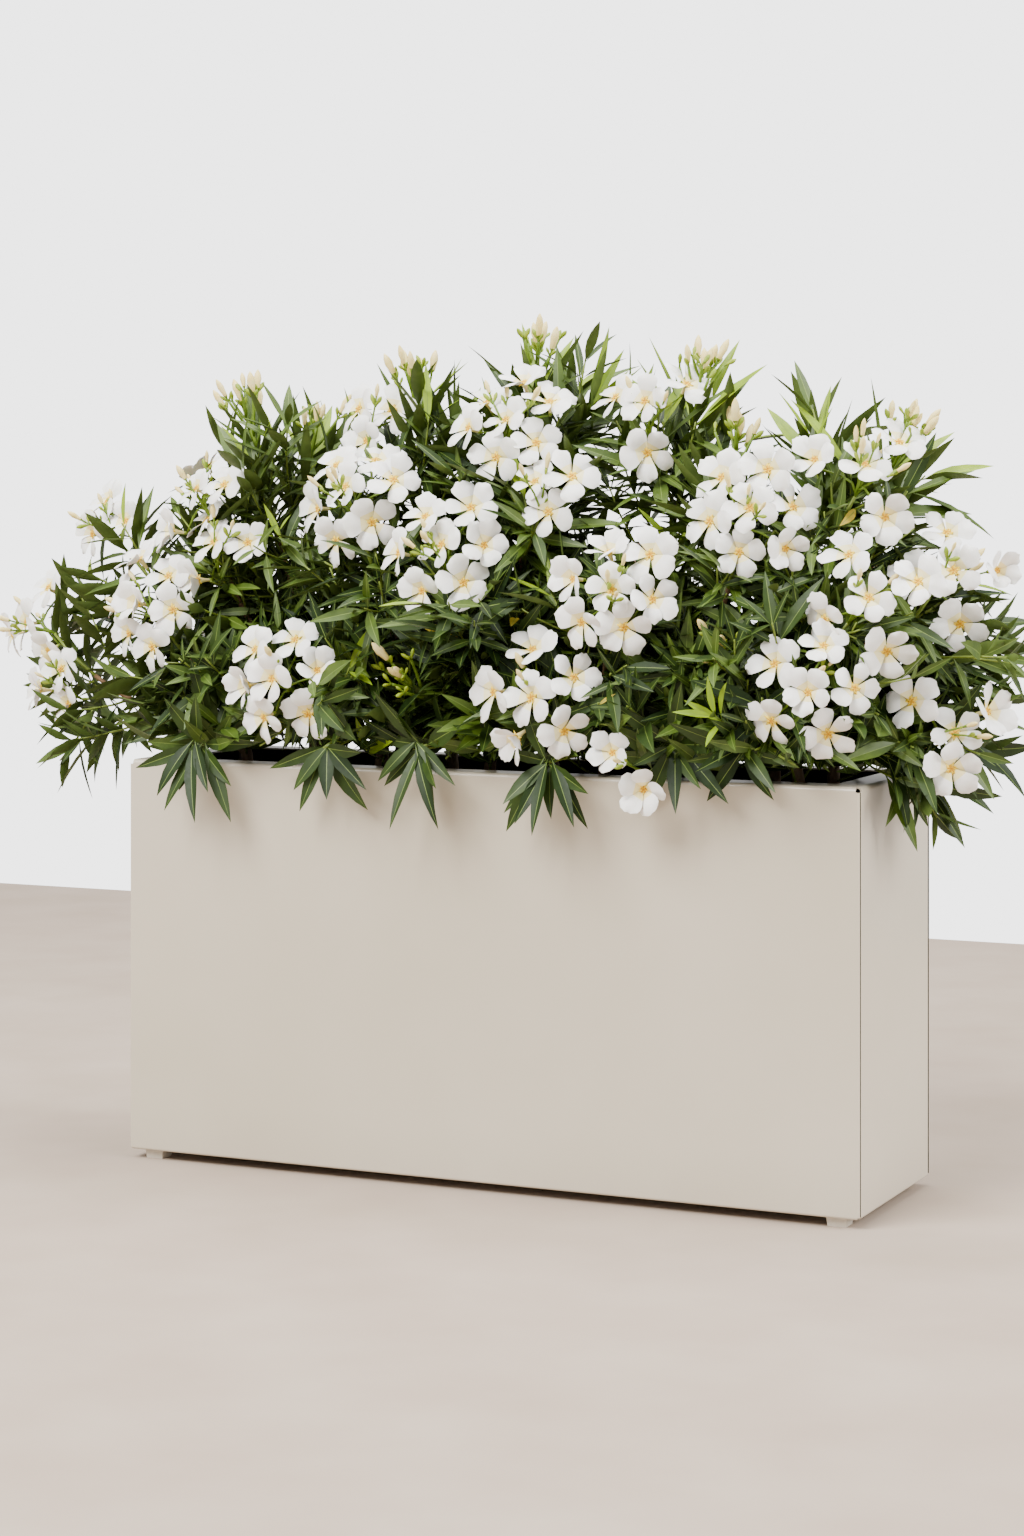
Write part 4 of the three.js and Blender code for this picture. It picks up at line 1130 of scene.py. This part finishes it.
# Flower and bud forms
def petal_grid(shift, cup):
    """One petal's corners, above and below, in (out, across, up) from the flower's middle."""
    first, count = PETAL_ROWS[0], len(PETAL_ROWS)
    row = np.arange(count)[:, None]
    rows, halves, lifts = (np.array(v)[:, None] for v in (PETAL_ROWS, PETAL_HALVES, PETAL_LIFTS))
    side = np.linspace(-1, 1, len(PETAL_ENDS))[None]
    reach = rows - first + (np.array(PETAL_ENDS) + shift) * (row / (count - 1)) ** 3
    above = lifts + (PETAL["twist"] * side - PETAL["hollow"] * side * side) * halves / 12
    fluting = PETAL["fluting"] * np.cos(2 * math.pi * side)
    above = above + (fluting + PETAL["wave"] * shift) * row / count
    thick = np.full(above.shape, PETAL["thick"])
    thick[:, [0, -1]] = 0
    thick[-1] = 0
    grids = []
    for rise in (above, above - thick):
        out = first + reach * math.cos(cup) - rise * math.sin(cup)
        up = reach * math.sin(cup) + rise * math.cos(cup)
        grids.append(np.stack([out, halves * side, up], axis=-1))
    return np.concatenate(grids).reshape(-1, 3)


def petal_faces():
    """Faces of one petal, above, below and at its root, and their slots."""
    rows, columns = len(PETAL_ROWS), len(PETAL_ENDS)
    size = rows * columns
    grid = grid_faces(rows, columns)
    faces = [(a, d, c, b) for a, b, c, d in grid]
    faces += [tuple(size + corner for corner in face) for face in grid]
    slots = [BASE_SLOT if face[0] < 2 * columns else 0 for face in grid]
    slots += [BASE_SLOT if face[0] < columns else 0 for face in grid]
    faces += [(k, k + 1, size + k + 1, size + k) for k in range(columns - 1)]
    return faces, slots + [BASE_SLOT] * (columns - 1)


def shaped_petal(cup, scale, rng):
    """One petal with an edge, curl, sway and width of its own."""
    shift = np.array([rng.uniform(-1.4, 1.4) for _ in PETAL_ENDS])
    curl = rng.uniform(-2.4, 1.4)
    sway = rng.uniform(-0.12, 0.12)
    grid = petal_grid(shift, cup + rng.uniform(-0.12, 0.12))
    grid *= scale * rng.uniform(0.93, 1.05)
    grid[:, 2] += curl * (grid[:, 0] / 30) ** 2 * 2
    grid[:, 1] *= rng.uniform(0.9, 1.08) * (1 - 0.25 * max(0, cup - 0.5))
    grid[:, 1] += sway * grid[:, 0]
    return grid


def petal_ways(facing, turn):
    """The five directions in which a flower's petals stand out."""
    side = unit(np.cross(UP if abs(facing[2]) < 0.9 else np.array([1.0, 0, 0]), facing))
    other = np.cross(facing, side)
    angles = [math.radians(turn + 72 * k) for k in range(5)]
    return [side * math.cos(angle) + other * math.sin(angle) for angle in angles]


def add_ray(gathered, centre, way, facing, length, half, height, slot):
    """A slim raised ray of the throat, as a closed wedge."""
    across = np.cross(facing, way)
    middle = centre + way * length * 0.45
    points = [
        centre + facing * (height - 0.6),
        middle + across * half + facing * (height - 0.3),
        middle - across * half + facing * (height - 0.3),
        centre + way * length + facing * (height + 0.2),
        middle + facing * (height + 0.7),
        centre + facing * (height + 0.7),
    ]
    faces = [(0, 1, 2), (1, 3, 2), (5, 4, 1), (5, 1, 0), (5, 2, 4), (5, 0, 2), (4, 3, 1), (4, 2, 3)]
    gathered.add(points, faces, slot)


def build_flowers(blossom):
    petals, hearts = Gathered(MATERIALS["flower"]), Gathered(MATERIALS["flower"])
    faces, slots = petal_faces()
    for number, (centre, facing, turn, scale, cup) in enumerate(blossom.flowers):
        rng = random.Random(f"flower {number}")
        for out in petal_ways(facing, turn):
            across = np.cross(facing, out)
            grid = shaped_petal(cup, scale, rng)
            points = centre + grid[:, :1] * out + grid[:, 1:2] * across + grid[:, 2:] * facing
            petals.add(points, faces, slots)
            for way, (length, half, height, slot) in zip((out, unit(out + across), out), RAYS):
                add_ray(hearts, centre, way, facing, length * scale, half, height, slot)
        for rows, sides, slot in ((TUBE_ROWS, 8, TUBE_SLOT), (CALYX_ROWS, 6, CALYX_SLOT)):
            line = [centre - facing * behind for behind, _ in rows]
            hearts.add(*tube_form(line, [radius for _, radius in rows], sides), slot)
    return petals, hearts


def build_buds(blossom):
    """Slender pointed buds, each with a green foot."""
    sides, rows = 8, len(BUD_ROWS)
    end, tip = (rows - 1) * sides, rows * sides
    faces = band_faces(rows, sides)
    foot = [face[0] < sides for face in faces]
    for k in range(sides):
        faces.append((end + k, end + (k + 1) % sides, tip))
        faces.append((tip + 1, (k + 1) % sides, k))
        foot += [False, True]
    points = []
    for root, way, length, width, _ in blossom.buds:
        side = unit(np.cross(way, BUD_SIDE))
        other = np.cross(way, side)
        for t, share in BUD_ROWS:
            for k in range(sides):
                turn = 2 * math.pi * k / sides + BUD_TWIST * t
                spoke = side * math.cos(turn) + other * math.sin(turn)
                points.append(root + way * length * t + spoke * (width / 2 * share))
        points += [root + way * length, root]
    kinds = np.array([bud[4] for bud in blossom.buds])[:, None]
    gathered = Gathered([*MATERIALS["bud"], MATERIALS["flower"][CALYX_SLOT]])
    gathered.add_batch(np.reshape(points, (len(kinds), -1, 3)), faces, np.where(foot, FOOT_SLOT, kinds))
    return gathered


# Soil
def build_soil():
    """Crumbly soil: the solid's own outline, with small hollows and lumps on top."""
    rows, columns = SOIL["rows"], SOIL["columns"]
    half_x, half_y = LENGTH / 2 - SHEET - SOIL["gap_x"], DEPTH / 2 - SHEET - SOIL["gap_y"]
    points = []
    for j in range(rows):
        for i in range(columns):
            x = -half_x + 2 * half_x * i / (columns - 1)
            y = -half_y + 2 * half_y * j / (rows - 1)
            past = max(0, abs(x) - half_x + SOIL["shoulder"]) / SOIL["shoulder"]
            z = SOIL_TOP - SOIL["below"] - SOIL["sinks"] * past
            for high, wide, layer in LUMPS:
                z += high * noise.noise(Vector((x / wide, y / wide, layer)))
            points.append((x, y, z))
    grid = np.arange(rows * columns).reshape(rows, columns)
    edge = [*grid[0], *grid[1:, -1], *grid[-1, -2::-1], *grid[-2:0:-1, 0]]
    first, count = len(points), len(edge)
    points += [(points[i][0], points[i][1], SOIL_LOW) for i in edge]
    points.append((0, 0, SOIL_LOW))
    faces = grid_faces(rows, columns)
    for k in range(count):
        n = (k + 1) % count
        faces.append((edge[k], first + k, first + n, edge[n]))
        faces.append((first + n, first + k, first + count))
    gathered = Gathered([soil_material()])
    gathered.add(points, faces)
    gathered.build("soil_surface", "soil", ["soil"])


# Planter
def folded_section(points, bends, steps=7):
    """A bent sheet's section: its outer line, with round right-angled bends, and its inner one.

    Each bend has one more ring just before and after it, so that flat faces stay flat, and
    one sharper than the sheet is thick thins it there.
    """
    points = [np.array(p, dtype=float) for p in points]
    outer, inner = [], []

    def add(place, normal, thickness=SHEET):
        outer.append(place)
        inner.append(place + normal * thickness)

    way = unit(points[1] - points[0])
    normal = unit(points[2] - points[1])
    add(points[0], normal)
    for corner, bend, following in zip(points[1:-1], bends, points[2:]):
        after = unit(following - corner)
        centre = corner - way * bend + after * bend
        add(corner - way * (bend + 1), after)
        for i in range(steps + 1):
            turn = math.pi / 2 * i / steps
            spoke = -after * math.cos(turn) + way * math.sin(turn)
            add(centre + spoke * bend, -spoke, min(SHEET, 0.9 * bend))
        add(corner + after * (bend + 1), -way)
        normal = -way
        way = after
    add(points[-1], normal)
    return outer, inner


def swept_sheet(gathered, outer, inner, low_end, high_end, place, dark=0):
    """A closed sheet between two ends, which may depend on the place.

    Its inner side and the last strips of its outer side, where a seam hides them, take the second
    slot's dark tone as painted shade.
    """
    line = [*outer, *inner[::-1]]
    count = len(line)
    corners = [place(p, end(p)) for end in (low_end, high_end) for p in line]
    faces = [(k, (k + 1) % count, count + (k + 1) % count, count + k) for k in range(count)]
    half = len(outer)
    slots = [1 if half - dark <= k < count - 1 else 0 for k in range(count)]
    for k in range(half - 1):
        a, b, c, d = k, k + 1, count - 2 - k, count - 1 - k
        faces.append((a, d, c, b))
        faces.append((count + a, count + b, count + c, count + d))
        slots += [0, 0]
    gathered.add(corners, faces, slots)


def build_panel(name, paint, inside, half, fold, face_at, turn):
    """One panel: lip, face and bottom return in one run, and a fold back at each end."""
    flat_half = fold["half"] - fold["bend"]
    fold_top = RIM - TOP_BEND - 1
    cosine, sine = round(math.cos(math.radians(turn))), round(math.sin(math.radians(turn)))

    def world(inward, along, up):
        x, y = along, inward - face_at
        return (x * cosine - y * sine, x * sine + y * cosine, up)

    def end(section_place):
        inward, up = section_place
        notch = NOTCH if up > fold_top else 0
        return min(flat_half - notch, half - MITRE_GAP - inward)

    gathered = Gathered([paint, inside])
    upright = [(LIP, RIM), (0, RIM), (0, FOOT_TOP), (LOW_RETURN, FOOT_TOP)]
    outer, inner = folded_section(upright, [TOP_BEND, LOW_BEND])
    swept_sheet(
        gathered, outer, inner, lambda p: -end(p), end, lambda p, along: world(p[0], along, p[1])
    )
    for hand in (-1, 1):
        level = [(0, 0), (0, fold["half"]), (fold["inward"], fold["half"])]
        outer, inner = [line[2:] for line in folded_section(level, [fold["bend"]])]
        low, high = FOOT_TOP + LOW_BEND, fold_top
        swept_sheet(
            gathered, outer, inner, lambda p: low, lambda p: high,
            lambda p, up: world(p[0], hand * p[1], up), fold["dark"],
        )
    panel = gathered.build(f"panel_{name}", "paint", [f"planter_{name}"])
    make_solid(panel)
    panel.data.set_sharp_from_angle(angle=math.radians(35))


def make_solid(piece):
    """Turn every shell of a piece the right way out."""
    form = bmesh.new()
    form.from_mesh(piece.data)
    bmesh.ops.recalc_face_normals(form, faces=form.faces)
    form.to_mesh(piece.data)
    form.free()


def build_planter():
    """Folded panels with soft bends stand in for the solid ones. Base and feet keep theirs."""
    paint = paint_material()
    # The sheet's inner side and the strips inside the seams take this dark tone as painted shade, where
    # the trough's inside and its seams lie in shadow.
    inside = mottled("inner_coat", (34, 31, 28), (50, 46, 42), 0.8, 0.3)
    build_panel("front", paint, inside, LENGTH / 2, LONG_FOLD, DEPTH / 2, 0)
    build_panel("right", paint, inside, DEPTH / 2, SHORT_FOLD, LENGTH / 2, 90)
    build_panel("back", paint, inside, LENGTH / 2, LONG_FOLD, DEPTH / 2, 180)
    build_panel("left", paint, inside, DEPTH / 2, SHORT_FOLD, LENGTH / 2, 270)
    pads = mottled("foot_pad", (198, 190, 174), (210, 202, 188), 0.55, 0.4, 140, bump=0.3)
    for name in frame["nodes"]:
        if name == "planter_base" or name.startswith("foot_"):
            data = bpy.data.objects[name].data
            data.materials.clear()
            data.materials.append(pads if name.startswith("foot_") else paint)


# Stage, lights and camera
FLOOR = {"half_length": 8000, "front": -7000, "back": 2300}


def build_stage():
    side, front, back = (FLOOR[key] * MM for key in ("half_length", "front", "back"))
    mesh = bpy.data.meshes.new("floor")
    corners = [(-side, front, 0), (side, front, 0), (side, back, 0), (-side, back, 0)]
    mesh.from_pydata(corners, [], [(0, 1, 2, 3)])
    floor = bpy.data.objects.new("floor", mesh)
    bpy.context.scene.collection.objects.link(floor)
    mesh.materials.append(mottled("floor_pale", (163, 147, 132), (174, 159, 145), 0.85, 0.2, 5))


def add_area(name, place, size, power, colour, target):
    light = bpy.data.lights.new(name, "AREA")
    light.shape = "RECTANGLE"
    light.size, light.size_y = size
    light.energy = power
    light.color = colour
    lamp = bpy.data.objects.new(name, light)
    lamp.location = place
    lamp.rotation_euler = (Vector(target) - Vector(place)).to_track_quat("-Z", "Y").to_euler()
    bpy.context.scene.collection.objects.link(lamp)


WORLD = {"colour": (1.0, 0.985, 0.965, 1), "light": 0.88, "seen": 3.6}


def build_lights():
    """An even pale world, seen brighter than it lights, and three large soft lamps."""
    world = bpy.data.worlds.new("studio")
    world.use_nodes = True
    nodes, links = world.node_tree.nodes, world.node_tree.links
    lighting = nodes["Background"]
    lighting.inputs["Color"].default_value = WORLD["colour"]
    lighting.inputs["Strength"].default_value = WORLD["light"]
    seen = nodes.new("ShaderNodeBackground")
    seen.inputs["Color"].default_value = (1, 1, 1, 1)
    seen.inputs["Strength"].default_value = WORLD["seen"]
    mix = nodes.new("ShaderNodeMixShader")
    links.new(nodes.new("ShaderNodeLightPath").outputs["Is Camera Ray"], mix.inputs["Fac"])
    links.new(lighting.outputs["Background"], mix.inputs[1])
    links.new(seen.outputs["Background"], mix.inputs[2])
    links.new(mix.outputs["Shader"], nodes["World Output"].inputs["Surface"])
    bpy.context.scene.world = world
    add_area("key", (-1.8, -4.2, 5.2), (3.6, 3.6), 960, (1.0, 0.985, 0.96), (0, 0, 0.6))
    add_area("fill", (5.0, 0.2, 2.8), (2.6, 3.0), 400, (1.0, 0.99, 0.98), (0, 0, 0.5))
    add_area("top", (0.3, 0.6, 5.0), (4.0, 3.0), 310, (1.0, 0.99, 0.98), (0, 0, 0.8))


# The camera stands level, and its shift sets the framing. Focal length and horizon are in the
# photograph's pixels, of which its long side has this many.
CAMERA = {"place": (1680.06, -3686.33, 858.4), "turn": (354.7, 771.9), "focal": 3156, "horizon": 502}
IMAGE_HEIGHT = 1536
SENSOR = 36


def build_camera():
    data = bpy.data.cameras.new("camera")
    data.sensor_width = SENSOR
    data.lens = SENSOR * CAMERA["focal"] / IMAGE_HEIGHT
    data.shift_y = -(IMAGE_HEIGHT / 2 - CAMERA["horizon"]) / IMAGE_HEIGHT
    camera = bpy.data.objects.new("camera", data)
    camera.location = Vector(np.array(CAMERA["place"]) * MM + MIDDLE)
    camera.rotation_euler = (math.pi / 2, 0, math.atan2(*CAMERA["turn"]))
    data.clip_start, data.clip_end = 0.1, 100
    bpy.context.scene.collection.objects.link(camera)
    bpy.context.scene.camera = camera


def build_plant():
    build_limbs()
    blossom = Blossom()
    for mass in MASSES:
        for tip in mass.tips:
            blossom_on(blossom, mass, tip)
    foliage = Foliage(blossom)
    for mass in MASSES:
        foliage.grow(mass)
        if not mass.straight:
            foliage.limb_twigs(mass)
    petals, hearts = build_flowers(blossom)
    pieces = [*build_leaves(foliage.leaves), ("twigs", foliage.twigs), ("stalks", blossom.stalks)]
    pieces += [("petals", petals), ("flower_hearts", hearts), ("buds", build_buds(blossom))]
    replaced = [f"foliage_{mass.name}" for mass in MASSES]
    for name, gathered in pieces:
        gathered.build(name, "foliage", replaced if name == "leaves_middle" else ())


build_camera()
build_stage()
build_lights()
build_planter()
build_soil()
build_plant()
